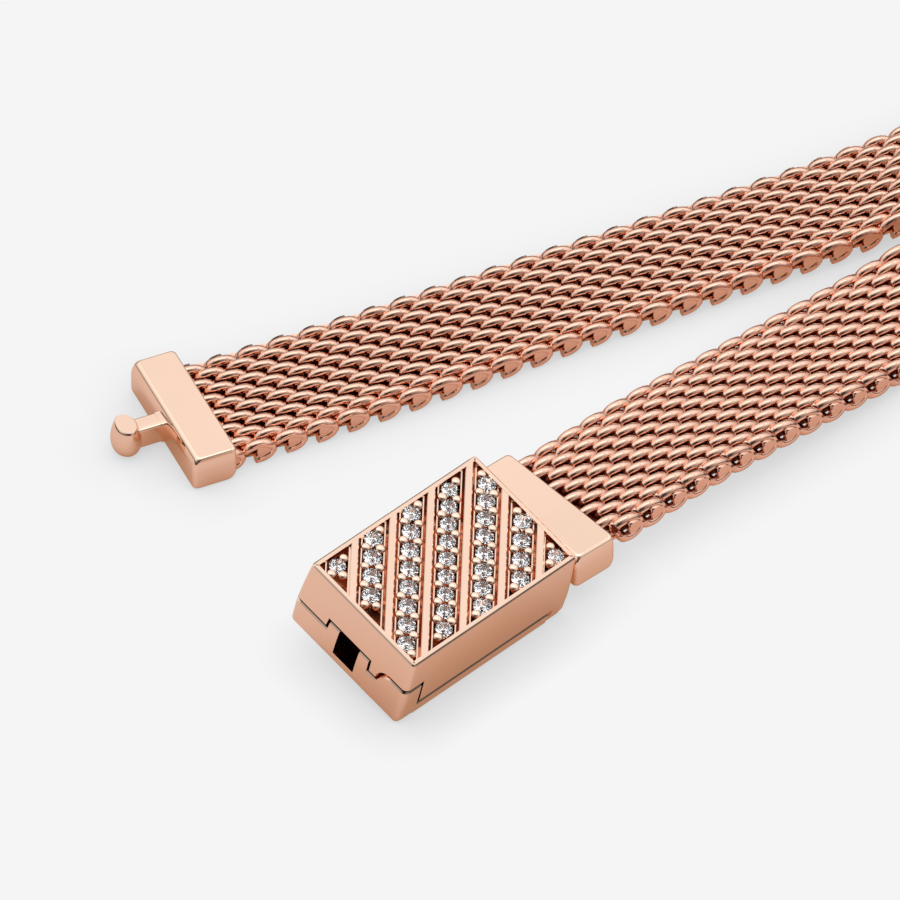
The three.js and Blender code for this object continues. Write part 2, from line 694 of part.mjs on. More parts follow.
// The origin is the middle of the bracelet's footprint, on the surface
const model = new THREE.Group();
model.add(bracelet);
model.updateMatrixWorld(true);
const extent = new THREE.Box3().setFromObject(model, true);
const footprint = extent.getCenter(new THREE.Vector3());
bracelet.position.set(-footprint.x, -footprint.y, -extent.min.z);

export default model;
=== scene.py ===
"""A mesh bracelet of rose-coloured metal, lying open on a pale surface, with a stone-set box clasp.

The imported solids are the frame. This script weaves the band from wire coils, remakes the end caps
and the clasp with their soft edges, sets the stones and grains, and lights it all on a plain floor.
Sizes are in millimetres and degrees unless their description says otherwise.
"""

import json
import logging
import math
from dataclasses import dataclass
from enum import Enum
from typing import Callable, Iterable, Sequence

import bmesh
import bpy
import numpy as np
from mathutils import Matrix, Vector
from mathutils.geometry import delaunay_2d_cdt

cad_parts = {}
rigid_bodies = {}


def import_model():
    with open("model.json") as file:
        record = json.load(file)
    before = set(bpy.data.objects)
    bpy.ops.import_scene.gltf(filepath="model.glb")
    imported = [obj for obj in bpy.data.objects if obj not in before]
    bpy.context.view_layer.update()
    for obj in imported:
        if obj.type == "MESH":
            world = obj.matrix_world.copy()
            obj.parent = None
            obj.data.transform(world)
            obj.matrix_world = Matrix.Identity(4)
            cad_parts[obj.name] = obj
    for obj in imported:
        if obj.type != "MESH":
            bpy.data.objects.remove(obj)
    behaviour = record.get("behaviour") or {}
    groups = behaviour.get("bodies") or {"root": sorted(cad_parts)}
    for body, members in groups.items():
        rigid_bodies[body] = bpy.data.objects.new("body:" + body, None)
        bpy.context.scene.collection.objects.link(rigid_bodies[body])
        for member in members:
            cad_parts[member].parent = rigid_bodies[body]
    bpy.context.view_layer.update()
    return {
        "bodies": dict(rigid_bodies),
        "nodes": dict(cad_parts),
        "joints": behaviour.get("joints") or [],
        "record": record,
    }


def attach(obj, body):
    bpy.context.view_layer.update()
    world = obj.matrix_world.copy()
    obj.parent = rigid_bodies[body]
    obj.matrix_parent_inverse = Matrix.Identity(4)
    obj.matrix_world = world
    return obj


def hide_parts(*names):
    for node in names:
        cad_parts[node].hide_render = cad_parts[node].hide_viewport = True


Colour = tuple[float, float, float]
Shape = bmesh.types.BMesh
Socket = bpy.types.NodeSocket
Stops = Sequence[tuple[float, float]]

log = logging.getLogger("mesh_bracelet")

MM = 0.001
UP = Vector((0.0, 0.0, 1.0))
QUARTER = math.pi / 2
SQUARE = ((-1, -1), (1, -1), (1, 1), (-1, 1))
# Faces with this attribute get the dark finish, painted shade deep in the weave.
HIDDEN = "hidden"  # Face attribute of the wire deep in the weave.
FLAT_CORNERS = 5  # Faces with this many corners or more are flat tops and ends.
SHARP = math.radians(40.0)  # Edges that turn by more than this stay crisp.
ARC_STEPS = 9
CORNER_STEPS = 6


class Slot(Enum):
    """The record's material slots."""

    METAL = "rose_metal"
    WEAVE = "weave_metal"
    STONE = "clear_stone"


class Body(Enum):
    """The record's bodies."""

    BRACELET = "bracelet"
    DOOR = "door"


@dataclass(frozen=True)
class Place:
    """Where a rigid piece lies on the plan.

    Args:
        x: middle of the piece along the plan's X.
        y: middle of the piece along the plan's Y.
        z: height of the piece's middle.
        heading: turn about the upright.
        roll: turn about the piece's own length.
    """

    x: float
    y: float
    z: float
    heading: float
    roll: float = 0.0

    def turn(self) -> Matrix:
        """The piece's heading and roll."""
        heading = Matrix.Rotation(math.radians(self.heading), 4, "Z")
        return heading @ Matrix.Rotation(math.radians(self.roll), 4, "X")

    def matrix(self, shift: Vector) -> Matrix:
        """Takes the piece's own millimetres to the frame's metres, by the plan's shift."""
        move = Matrix.Translation(Vector((self.x, self.y, self.z)) + shift)
        return Matrix.Scale(MM, 4) @ move @ self.turn()


@dataclass(frozen=True)
class RouteRow:
    """One chosen point of the band's route.

    Args:
        x: plan X.
        y: plan Y.
        lean: turn of the band about its run, inner edge up.
        lift: height of the band's lowest edge.
        drawn: how far the weave is drawn out, from 0 to 1.
    """

    x: float
    y: float
    lean: float
    lift: float
    drawn: float


# Helpers for meshes


def mesh_object(name: str, data: bpy.types.ID) -> bpy.types.Object:
    """A new object in the scene.

    Args:
        name: the object's name.
        data: the mesh or curve that it shows.

    Returns:
        The object, at the origin.
    """
    obj = bpy.data.objects.new(name, data)
    bpy.context.scene.collection.objects.link(obj)
    return obj


def object_from_bmesh(name: str, bm: Shape, smooth: bool = True) -> bpy.types.Object:
    """Turns a finished shape into an object.

    Args:
        name: the object's name.
        bm: the shape, which is freed.
        smooth: True for smooth shading of all but the flat faces with many corners.

    Returns:
        The object.
    """
    mesh = bpy.data.meshes.new(name)
    for face in bm.faces:
        face.smooth = smooth and len(face.verts) < FLAT_CORNERS
    bm.to_mesh(mesh)
    bm.free()
    return mesh_object(name, mesh)


def settled(obj: bpy.types.Object) -> bpy.types.Object:
    """Turns a modified object into a plain mesh of the same name.

    Args:
        obj: the object with its modifiers, which is removed.

    Returns:
        The plain object.
    """
    graph = bpy.context.evaluated_depsgraph_get()
    mesh = bpy.data.meshes.new_from_object(obj.evaluated_get(graph), depsgraph=graph)
    name = obj.name
    bpy.data.objects.remove(obj)
    mesh.name = name
    return mesh_object(name, mesh)


def around(size: int) -> list[tuple[int, int]]:
    """Every number below a size, with the next one round."""
    return [(i, (i + 1) % size) for i in range(size)]


def oval(steps: int, x: float, y: float, z: float = 0.0, start: float = 0.0) -> list[Vector]:
    """Points round Z, by their number, half sizes along X and Y, height and first angle."""
    angles = [start + 4 * QUARTER * i / steps for i in range(steps)]
    return [Vector((x * math.cos(a), y * math.sin(a), z)) for a in angles]


def rounded_outline(length: float, width: float, radius: float, steps: int) -> list[Vector]:
    """Points of a rectangle with round corners, counter-clockwise.

    Args:
        length: size along X.
        width: size along Y.
        radius: corner radius.
        steps: steps in each corner.

    Returns:
        The outline's points, in the XY plane.
    """
    points = []
    for quarter, (sx, sy) in enumerate(((1, 1), (-1, 1), (-1, -1), (1, -1))):
        for i in range(steps + 1):
            angle = QUARTER * (quarter + i / steps)
            x = sx * (length / 2 - radius) + radius * math.cos(angle)
            y = sy * (width / 2 - radius) + radius * math.sin(angle)
            points.append(Vector((x, y, 0.0)))
    return points


def skin(bm: Shape, rings: Sequence[Sequence[Vector]]) -> None:
    """Skins rings that hold the same number of points, and closes both ends.

    Args:
        bm: the shape that the faces are added to.
        rings: the rings, bottom to top, each counter-clockwise seen from above.
    """
    rows = [[bm.verts.new(point) for point in ring] for ring in rings]
    for low, high in zip(rows, rows[1:]):
        for i, j in around(len(low)):
            bm.faces.new((low[i], low[j], high[j], high[i]))
    bm.faces.new(rows[0][::-1])
    bm.faces.new(rows[-1])


def lofted(rings: Sequence[Sequence[Vector]]) -> Shape:
    """A closed shape skinned from rings, bottom to top.

    Args:
        rings: the rings, as for skin.

    Returns:
        The shape.
    """
    bm = bmesh.new()
    skin(bm, rings)
    return bm


def box_rings(low: Sequence[float], high: Sequence[float]) -> list[list[Vector]]:
    """The foot and the top of an upright box between two opposite corners."""
    corners = ((low[0], low[1]), (high[0], low[1]), (high[0], high[1]), (low[0], high[1]))
    return [[Vector((*corner, z)) for corner in corners] for z in (low[2], high[2])]


def joined(name: str, shapes: Iterable[Shape], place: Matrix) -> bpy.types.Object:
    """Unites closed shapes into one object at its place.

    Args:
        name: the object's name.
        shapes: closed shapes, which are freed.
        place: their common place in the part's frame.

    Returns:
        The object, with outward faces.
    """
    whole = bmesh.new()
    for shape in shapes:
        bmesh.ops.recalc_face_normals(shape, faces=shape.faces)
        part = bpy.data.meshes.new("part")
        shape.to_mesh(part)
        shape.free()
        whole.from_mesh(part)
        bpy.data.meshes.remove(part)
    bmesh.ops.transform(whole, matrix=place, verts=whole.verts)
    for edge in whole.edges:
        if len(edge.link_faces) == 2 and edge.calc_face_angle(0.0) > SHARP:
            edge.smooth = False
    return object_from_bmesh(name, whole)


# Helpers for node trees


class Graph:
    """A node tree in the making.

    Args:
        tree: the tree that nodes are added to.
    """

    def __init__(self, tree: bpy.types.NodeTree) -> None:
        """Keeps the tree."""
        self.tree = tree

    def feed(self, socket: Socket, value: object) -> None:
        """Links an input to a socket, or sets it to a constant.

        Args:
            socket: the input.
            value: the socket or the constant.
        """
        if isinstance(value, Socket):
            self.tree.links.new(value, socket)
        else:
            socket.default_value = value

    def add(self, kind: str, inputs: dict | None = None, **settings: object) -> bpy.types.Node:
        """Adds a node.

        Args:
            kind: the node's type.
            inputs: a socket or a constant for each input, by its name or number.
            settings: the node's own properties.

        Returns:
            The node.
        """
        node = self.tree.nodes.new(kind)
        for name, setting in settings.items():
            setattr(node, name, setting)
        for key, value in (inputs or {}).items():
            self.feed(node.inputs[key], value)
        return node

    def maths(self, operation: str, a: object, b: object) -> Socket:
        """One sum of two sockets or numbers."""
        return self.add("ShaderNodeMath", {0: a, 1: b}, operation=operation).outputs[0]

    def vectors(self, operation: str, a: Socket, b: object = (0.0, 0.0, 0.0)) -> Socket:
        """One sum of a vector with a vector or with a scale, or of the first alone."""
        inputs = {0: a, "Scale" if operation == "SCALE" else 1: b}
        return self.add("ShaderNodeVectorMath", inputs, operation=operation).outputs[0]

    def cloud(self, scale: float, detail: float = 2.0, coords: str = "Object") -> Socket:
        """Smooth noise by its scale per metre, its detail and the coordinates it lies on."""
        where = self.add("ShaderNodeTexCoord").outputs[coords]
        inputs = {"Vector": where, "Scale": scale, "Detail": detail}
        return self.add("ShaderNodeTexNoise", inputs).outputs["Fac"]

    def ranged(self, value: Socket, limits: dict[str, float], **settings: object) -> Socket:
        """A value taken from one range to another, each from 0 to 1 unless its limits are given."""
        inputs = {"Value": value, **limits}
        return self.add("ShaderNodeMapRange", inputs, **settings).outputs["Result"]

    def mixed(self, factor: object, a: object, b: object, **settings: object) -> Socket:
        """A mix of two colours, each a socket or a constant."""
        inputs = {"Factor": factor, "A": a, "B": b}
        return self.add("ShaderNodeMix", inputs, data_type="RGBA", **settings).outputs["Result"]

    def ramp(self, source: Socket, stops: Stops) -> Socket:
        """A grey ramp over a number.

        Args:
            source: the number.
            stops: places on the ramp with their brightness.

        Returns:
            The brightness.
        """
        node = self.add("ShaderNodeValToRGB", {"Fac": source})
        steps = node.color_ramp.elements
        steps[0].position, steps[1].position = stops[0][0], stops[-1][0]
        steps[0].color, steps[1].color = opaque(stops[0][1]), opaque(stops[-1][1])
        for position, value in stops[1:-1]:
            steps.new(position).color = opaque(value)
        return node.outputs["Color"]

    def mirrored(self, paths: bpy.types.NodeOutputs) -> Socket:
        """One for rays that metal mirrored or a stone bent, nothing for the others."""
        return self.maths("MAXIMUM", paths["Is Glossy Ray"], paths["Is Transmission Ray"])

    def glow(self, inputs: dict[str, object]) -> None:
        """Makes a material's surface shine by its own light."""
        lamp = self.add("ShaderNodeEmission", inputs)
        self.feed(self.tree.nodes["Material Output"].inputs["Surface"], lamp.outputs[0])

    def copied(self, points: Socket, instance: Socket, scale: object = (1.0, 1.0, 1.0)) -> Socket:
        """Copies of a shape on points, made real."""
        inputs = {"Points": points, "Instance": instance, "Scale": scale}
        return self.real(self.add("GeometryNodeInstanceOnPoints", inputs).outputs[0])

    def real(self, shape: Socket) -> Socket:
        """A shape whose instances are made real."""
        return self.add("GeometryNodeRealizeInstances", {0: shape}).outputs[0]

    def painted(self, shape: Socket, material: Socket, selection: object = True) -> Socket:
        """A shape with a material on the selected faces."""
        inputs = {"Geometry": shape, "Selection": selection, "Material": material}
        return self.add("GeometryNodeSetMaterial", inputs).outputs[0]


def opaque(level: float) -> tuple[float, float, float, float]:
    """An opaque grey."""
    return (level, level, level, 1.0)


def shaded(name: str) -> tuple[bpy.types.Material, Graph]:
    """A new material.

    Args:
        name: the material's name.

    Returns:
        The material and its node tree.
    """
    material = bpy.data.materials.new(name)
    material.use_nodes = True
    return material, Graph(material.node_tree)


def shape_graph(name: str, inputs: dict[str, str]) -> Graph:
    """A new node tree for shapes, with a geometry output.

    Args:
        name: the tree's name.
        inputs: each input's name with its kind.

    Returns:
        The tree.
    """
    tree = bpy.data.node_groups.new(name, "GeometryNodeTree")
    for label, kind in inputs.items():
        tree.interface.new_socket(label, in_out="INPUT", socket_type=f"NodeSocket{kind}")
    tree.interface.new_socket("Geometry", in_out="OUTPUT", socket_type="NodeSocketGeometry")
    return Graph(tree)


def grown(obj: bpy.types.Object, tree: bpy.types.NodeTree, values: dict) -> bpy.types.Object:
    """Runs a node tree on an object.

    Args:
        obj: the object, which is removed.
        tree: the tree.
        values: the tree's inputs by name, set by each socket's identifier.

    Returns:
        The plain mesh that comes out, as an object of the same name.
    """
    modifier = obj.modifiers.new("grown", "NODES")
    modifier.node_group = tree
    for item in tree.interface.items_tree:
        if item.item_type == "SOCKET" and item.in_out == "INPUT" and item.name in values:
            modifier[item.identifier] = values[item.name]
    return settled(obj)


# Finishes


@dataclass(frozen=True)
class Metal:
    """Polished rose-coloured metal.

    Args:
        name: the material's name.
        colour: reflected colour, linear.
        roughness: mean roughness.
        wear: how much the roughness varies over the surface.
        ripple: depth of the fine unevenness that hand polishing leaves, in metres.
        ripple_size: how many ripples there are per metre.
        ripple_strength: how strongly they bend the light.
        detail: octaves of the ripples.
        tint: share by which the colour varies either way.
    """

    name: str
    colour: Colour
    roughness: float
    wear: float
    ripple: float
    ripple_size: float
    ripple_strength: float = 0.3
    detail: float = 3.0
    tint: float = 0.03

    def build(self) -> bpy.types.Material:
        """Makes the material, with procedural roughness, tint and bump on Object coordinates."""
        material, graph = shaded(self.name)
        cloud = graph.cloud(self.ripple_size, self.detail)
        low, high = ((*(min(c * share, 1.0) for c in self.colour), 1.0)
                     for share in (1 - self.tint, 1 + self.tint))
        bump = {"Strength": self.ripple_strength, "Distance": self.ripple, "Height": cloud}
        limits = {"To Min": max(self.roughness - self.wear, 0.0),
                  "To Max": self.roughness + self.wear}
        shader = material.node_tree.nodes["Principled BSDF"].inputs
        graph.feed(shader["Metallic"], 1.0)
        graph.feed(shader["Roughness"], graph.ranged(cloud, limits))
        graph.feed(shader["Base Color"], graph.mixed(cloud, low, high))
        graph.feed(shader["Normal"], graph.add("ShaderNodeBump", bump).outputs["Normal"])
        return material


@dataclass(frozen=True)
class ClearStone:
    """Colourless cut stone.

    Args:
        name: the material's name.
        colour: colour of the light that it lets through, linear.
        ior: refractive index.
        roughness: the dullest polish of the facets.
        cloud_size: how many clouds there are in that polish per metre.
    """

    name: str
    colour: Colour
    ior: float
    roughness: float
    cloud_size: float

    def build(self) -> bpy.types.Material:
        """Makes the clear, strongly refracting material."""
        material, graph = shaded(self.name)
        polish = graph.ranged(graph.cloud(self.cloud_size), {"To Max": self.roughness})
        shader = material.node_tree.nodes["Principled BSDF"].inputs
        for key, value in (("Base Color", (*self.colour, 1.0)), ("Transmission Weight", 1.0),
                           ("IOR", self.ior), ("Roughness", polish)):
            graph.feed(shader[key], value)
        return material


@dataclass(frozen=True)
class Finishes:
    """The five finishes of the bracelet.

    Args:
        plate: mirror-polished metal of the caps and the clasp.
        weave: burnished metal of the wire.
        stone: the stones.
        painted_shade_lining: rougher metal under the stones and inside the clasp, its darker colour
            painted shade for those recesses.
        painted_weave_shade: dark metal deep in the weave, painted shade.
    """

    plate: Metal = Metal("rose_metal", (0.95, 0.68, 0.53), roughness=0.07, wear=0.03,
                         ripple=0.00001, ripple_size=260.0)
    weave: Metal = Metal("weave_metal", (0.94, 0.575, 0.44), roughness=0.1, wear=0.04,
                         ripple=0.00002, ripple_size=1500.0)
    stone: ClearStone = ClearStone("clear_stone", (0.96, 0.975, 1.0), ior=2.05, roughness=0.01,
                                   cloud_size=900.0)
    # Darker colour painted as shade in the recesses under the stones and inside the clasp.
    painted_shade_lining: Metal = Metal("dull_lining", (0.5, 0.2, 0.11), roughness=0.32, wear=0.08,
                          ripple=0.00003, ripple_size=2600.0)
    # Dark colour painted as shade on the wire deep in the weave and on the strip inside it.
    painted_weave_shade: Metal = Metal("tarnished_metal", (0.2, 0.05, 0.028), roughness=0.34, wear=0.08,
                           ripple=0.00002, ripple_size=1500.0)


def dress(obj: bpy.types.Object, material: bpy.types.Material, slot: Slot,
          body: Body = Body.BRACELET, node: str = "") -> None:
    """Gives a finished piece its material and body, and hides the CAD node that it replaces.

    Args:
        obj: the piece.
        material: its material, which it may have already.
        slot: the record's slot; not used.
        body: the body that it moves with.
        node: the CAD node that it replaces, if any.
    """
    if material.name not in obj.data.materials:
        obj.data.materials.clear()
        obj.data.materials.append(material)
    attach(obj, body.value)
    if node:
        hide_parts(node)
    log.info("%s: %d faces, rides on %s", obj.name, len(obj.data.polygons), body.value)


# The woven band


@dataclass
class BandRoute:
    """The band's middle line, from inside the stud's cap to inside the clasp's cap.

    Args:
        rows: the chosen points, from one cap to the other.
        width: band's width at the caps.
        slack: how much narrower it is where the weave is drawn out.
        thickness: band's thickness.
        steps: steps of the finished line.
        reading: how much finer the line is read first, to space it evenly.
    """

    rows: Sequence[RouteRow]
    width: float = 8.3
    slack: float = 0.6
    thickness: float = 1.5
    steps: int = 480
    reading: int = 4

    def read(self, values: np.ndarray, knots: np.ndarray, places: np.ndarray) -> np.ndarray:
        """Reads a smooth curve through values.

        Args:
            values: one row of numbers for each chosen point.
            knots: the length of the parameter between neighbouring points.
            places: where to read, in points from the start.

        Returns:
            The values read, one row for each place.
        """
        padded = np.vstack([2 * values[0] - values[1], values, 2 * values[-1] - values[-2]])
        index = np.minimum(places.astype(int), len(values) - 2)
        t = (places - index)[:, None]
        spans = np.concatenate([knots[:1], knots, knots[-1:]])
        before, span, after = (spans[index + k][:, None] for k in range(3))
        p0, p1, p2, p3 = (padded[index + k] for k in range(4))
        slope1 = (p1 - p0) / before - (p2 - p0) / (before + span) + (p2 - p1) / span
        slope2 = (p2 - p1) / span - (p3 - p1) / (span + after) + (p3 - p2) / after
        slope1, slope2 = slope1 * span, slope2 * span
        cubic = 2 * p1 - 2 * p2 + slope1 + slope2
        square = -3 * p1 + 3 * p2 - 2 * slope1 - slope2
        return ((cubic * t + square) * t + slope1) * t + p1

    def line(self) -> tuple[np.ndarray, np.ndarray, np.ndarray]:
        """The finished line, evenly spaced.

        Returns:
            Its points, the lean in radians, and the width as a share of the full width.
        """
        plan = np.array([[row.x, row.y] for row in self.rows])
        attitude = np.array([[row.lean, row.lift, row.drawn] for row in self.rows])
        knots = np.sqrt(np.linalg.norm(np.diff(plan, axis=0), axis=1))
        places = np.linspace(0, len(self.rows) - 1, self.steps * self.reading)
        dense = self.read(plan, knots, places)
        run = np.concatenate([[0], np.cumsum(np.linalg.norm(np.diff(dense, axis=0), axis=1))])
        even = np.interp(np.linspace(0, run[-1], self.steps), run, places)
        flat = self.read(plan, knots, even)
        lean, lift, drawn = np.maximum(self.read(attitude, np.ones_like(knots), even), 0).T
        angle = np.radians(np.minimum(lean, 90))
        width = self.width - self.slack * drawn
        height = lift + width / 2 * np.sin(angle) + self.thickness / 2 * np.cos(angle)
        return np.column_stack([flat, height]), angle, width / self.width

    def curve(self, shift: Vector) -> tuple[bpy.types.Object, float]:
        """Makes the line a curve object, whose tilt holds the lean and whose radius the width.

        Args:
            shift: the plan's origin in the part's frame.

        Returns:
            The curve object and the line's length.
        """
        points, angle, share = self.line()
        points = points + np.array(shift)
        data = bpy.data.curves.new("band_route", "CURVE")
        data.dimensions = "3D"
        spline = data.splines.new("POLY")
        spline.points.add(len(points) - 1)
        for point, place, tilt, radius in zip(spline.points, points, angle, share):
            point.co = (*place, 1.0)
            point.tilt, point.radius = float(tilt), float(radius)
        length = float(np.linalg.norm(np.diff(points, axis=0), axis=1).sum())
        return mesh_object("band_route", data), length


@dataclass
class WireCoil:
    """One flattened coil of wire that runs across the band.

    Args:
        reach: half of the coil's length along the band, to the wire's middle.
        rise: half of its height, to the wire's middle.
        wire_width: wire's width, along the coil.
        wire_height: wire's height, outward from the coil.
        bevel: flat along the wire's four edges, where it has been burnished.
        turns: sloping turns between the two closed ends.
        travel: how far the sloping turns carry the wire across the band.
        swing: sideways swing of each leg, which lets the next coil pass.
        easing: how softly the slope sets in, in turns.
        end_turn: part of a turn that stands upright at each edge.
        steps: steps in one turn.
        plate: how much of each end turn a hammered plate fills, a share of the coil's length.
        plate_depth: the plate's thickness.
        plate_steps: points of its outline.
        painted_shade_depth: how deep in the weave the wire is painted with shade, as a share of the
            rise.
        painted_shade_sides: how many of its sides, the inner ones, are painted with shade all
            along.
        loose_share: share of the width that is woven between the band's two edges.
        shade_strip: half length, half width and half thickness of the dark strip in the middle of
            the weave:
        painted shade, which stands in for the crossed wires that nobody can tell apart.
    """

    reach: float = 0.84
    rise: float = 0.5
    wire_width: float = 0.58
    wire_height: float = 0.5
    bevel: float = 0.15
    turns: float = 5.25
    travel: float = 7.2
    swing: float = 0.05
    easing: float = 0.12
    end_turn: float = 0.55
    steps: int = 20
    plate: float = 0.6
    plate_depth: float = 0.36
    plate_steps: int = 13
    painted_shade_depth: float = 0.5
    painted_shade_sides: int = 3
    loose_share: float = 0.93
    shade_strip: tuple[float, float, float] = (0.46, 3.4, 0.1)

    def plates(self, bm: Shape) -> None:
        """Adds the plate that fills part of the end turn at each edge of the band.

        Args:
            bm: the coil's shape.
        """
        first = math.acos(2 * self.plate - 1)
        arc = [(self.reach * math.cos(a), self.rise * math.sin(a))
               for a in np.linspace(first, 4 * QUARTER - first, self.plate_steps)]
        for side in (-1, 1):
            rings = [[bm.verts.new((side * x, side * self.travel / 2 + depth / 2, z))
                      for x, z in arc] for depth in (-self.plate_depth, self.plate_depth)]
            bm.faces.new(rings[0])
            bm.faces.new(rings[1][::-1])
            for i, j in around(len(arc)):
                bm.faces.new((rings[0][i], rings[1][i], rings[1][j], rings[0][j]))

    def centre_line(self) -> tuple[np.ndarray, np.ndarray]:
        """Middle of the wire and its outward direction, along the coil.

        Returns:
            Points and unit directions, with the coil's middle at the origin.
        """
        count = int(round((self.turns + 2 * self.end_turn) * self.steps))
        turn = np.linspace(-self.end_turn, self.turns + self.end_turn, count + 1)
        angle = 4 * QUARTER * turn + QUARTER
        soft = [np.logaddexp(0, past / self.easing) for past in (turn, turn - self.turns)]
        across = (self.easing * (soft[0] - soft[1]) / self.turns - 0.5) * self.travel
        middle = (turn > 0) & (turn < self.turns)
        across = across + np.where(middle, self.swing * np.sin(2 * angle), 0.0)
        cosine, sine = np.cos(angle), np.sin(angle)
        points = np.column_stack([self.reach * cosine, across, self.rise * sine])
        outward = np.column_stack([self.rise * cosine, 0 * angle, self.reach * sine])
        return points, outward / np.linalg.norm(outward, axis=1)[:, None]

    def section(self) -> np.ndarray:
        """The wire's eight-sided section, its last sides inward, as across and outward."""
        w, h, b = self.wire_width / 2, self.wire_height / 2, self.bevel
        return np.array([[w, -h + b], [w, h - b], [w - b, h], [-w + b, h],
                         [-w, h - b], [-w, -h + b], [-w + b, -h], [w - b, -h]])

    def build(self) -> bpy.types.Object:
        """Makes the coil, closed at both ends, with its plates and its strip of painted shade.

        Returns:
            The coil's object, in millimetres, with the faces for the painted shade marked.
        """
        points, outward = self.centre_line()
        tangent = np.gradient(points, axis=0)
        tangent /= np.linalg.norm(tangent, axis=1)[:, None]
        side = np.cross(tangent, outward)
        side /= np.linalg.norm(side, axis=1)[:, None]
        outward = np.cross(side, tangent)
        section = self.section()
        rings = points[:, None, :] + side[:, None, :] * section[None, :, :1]
        rings = rings + outward[:, None, :] * section[None, :, 1:]
        sides = np.arange(len(section))
        # The wire deep in the weave and its inner sides get painted shade.
        deep = np.abs(points[:-1, 2:]) < self.painted_shade_depth * self.rise
        loose = np.abs(points[:-1, 1:2]) < self.travel * self.loose_share / 2
        hidden = (loose & (deep | (sides >= len(sides) - self.painted_shade_sides))).ravel().tolist()
        bm = bmesh.new()
        skin(bm, rings)
        self.plates(bm)
        hidden += [False] * (len(bm.faces) - len(hidden))
        # The dark strip inside the weave is painted shade too.
        skin(bm, box_rings([-size for size in self.shade_strip], self.shade_strip))
        hidden += [True] * (len(bm.faces) - len(hidden))
        bmesh.ops.recalc_face_normals(bm, faces=bm.faces)
        coil = object_from_bmesh("wire_coil", bm)
        coil.data.attributes.new(HIDDEN, "BOOLEAN", "FACE").data.foreach_set("value", hidden)
        return coil


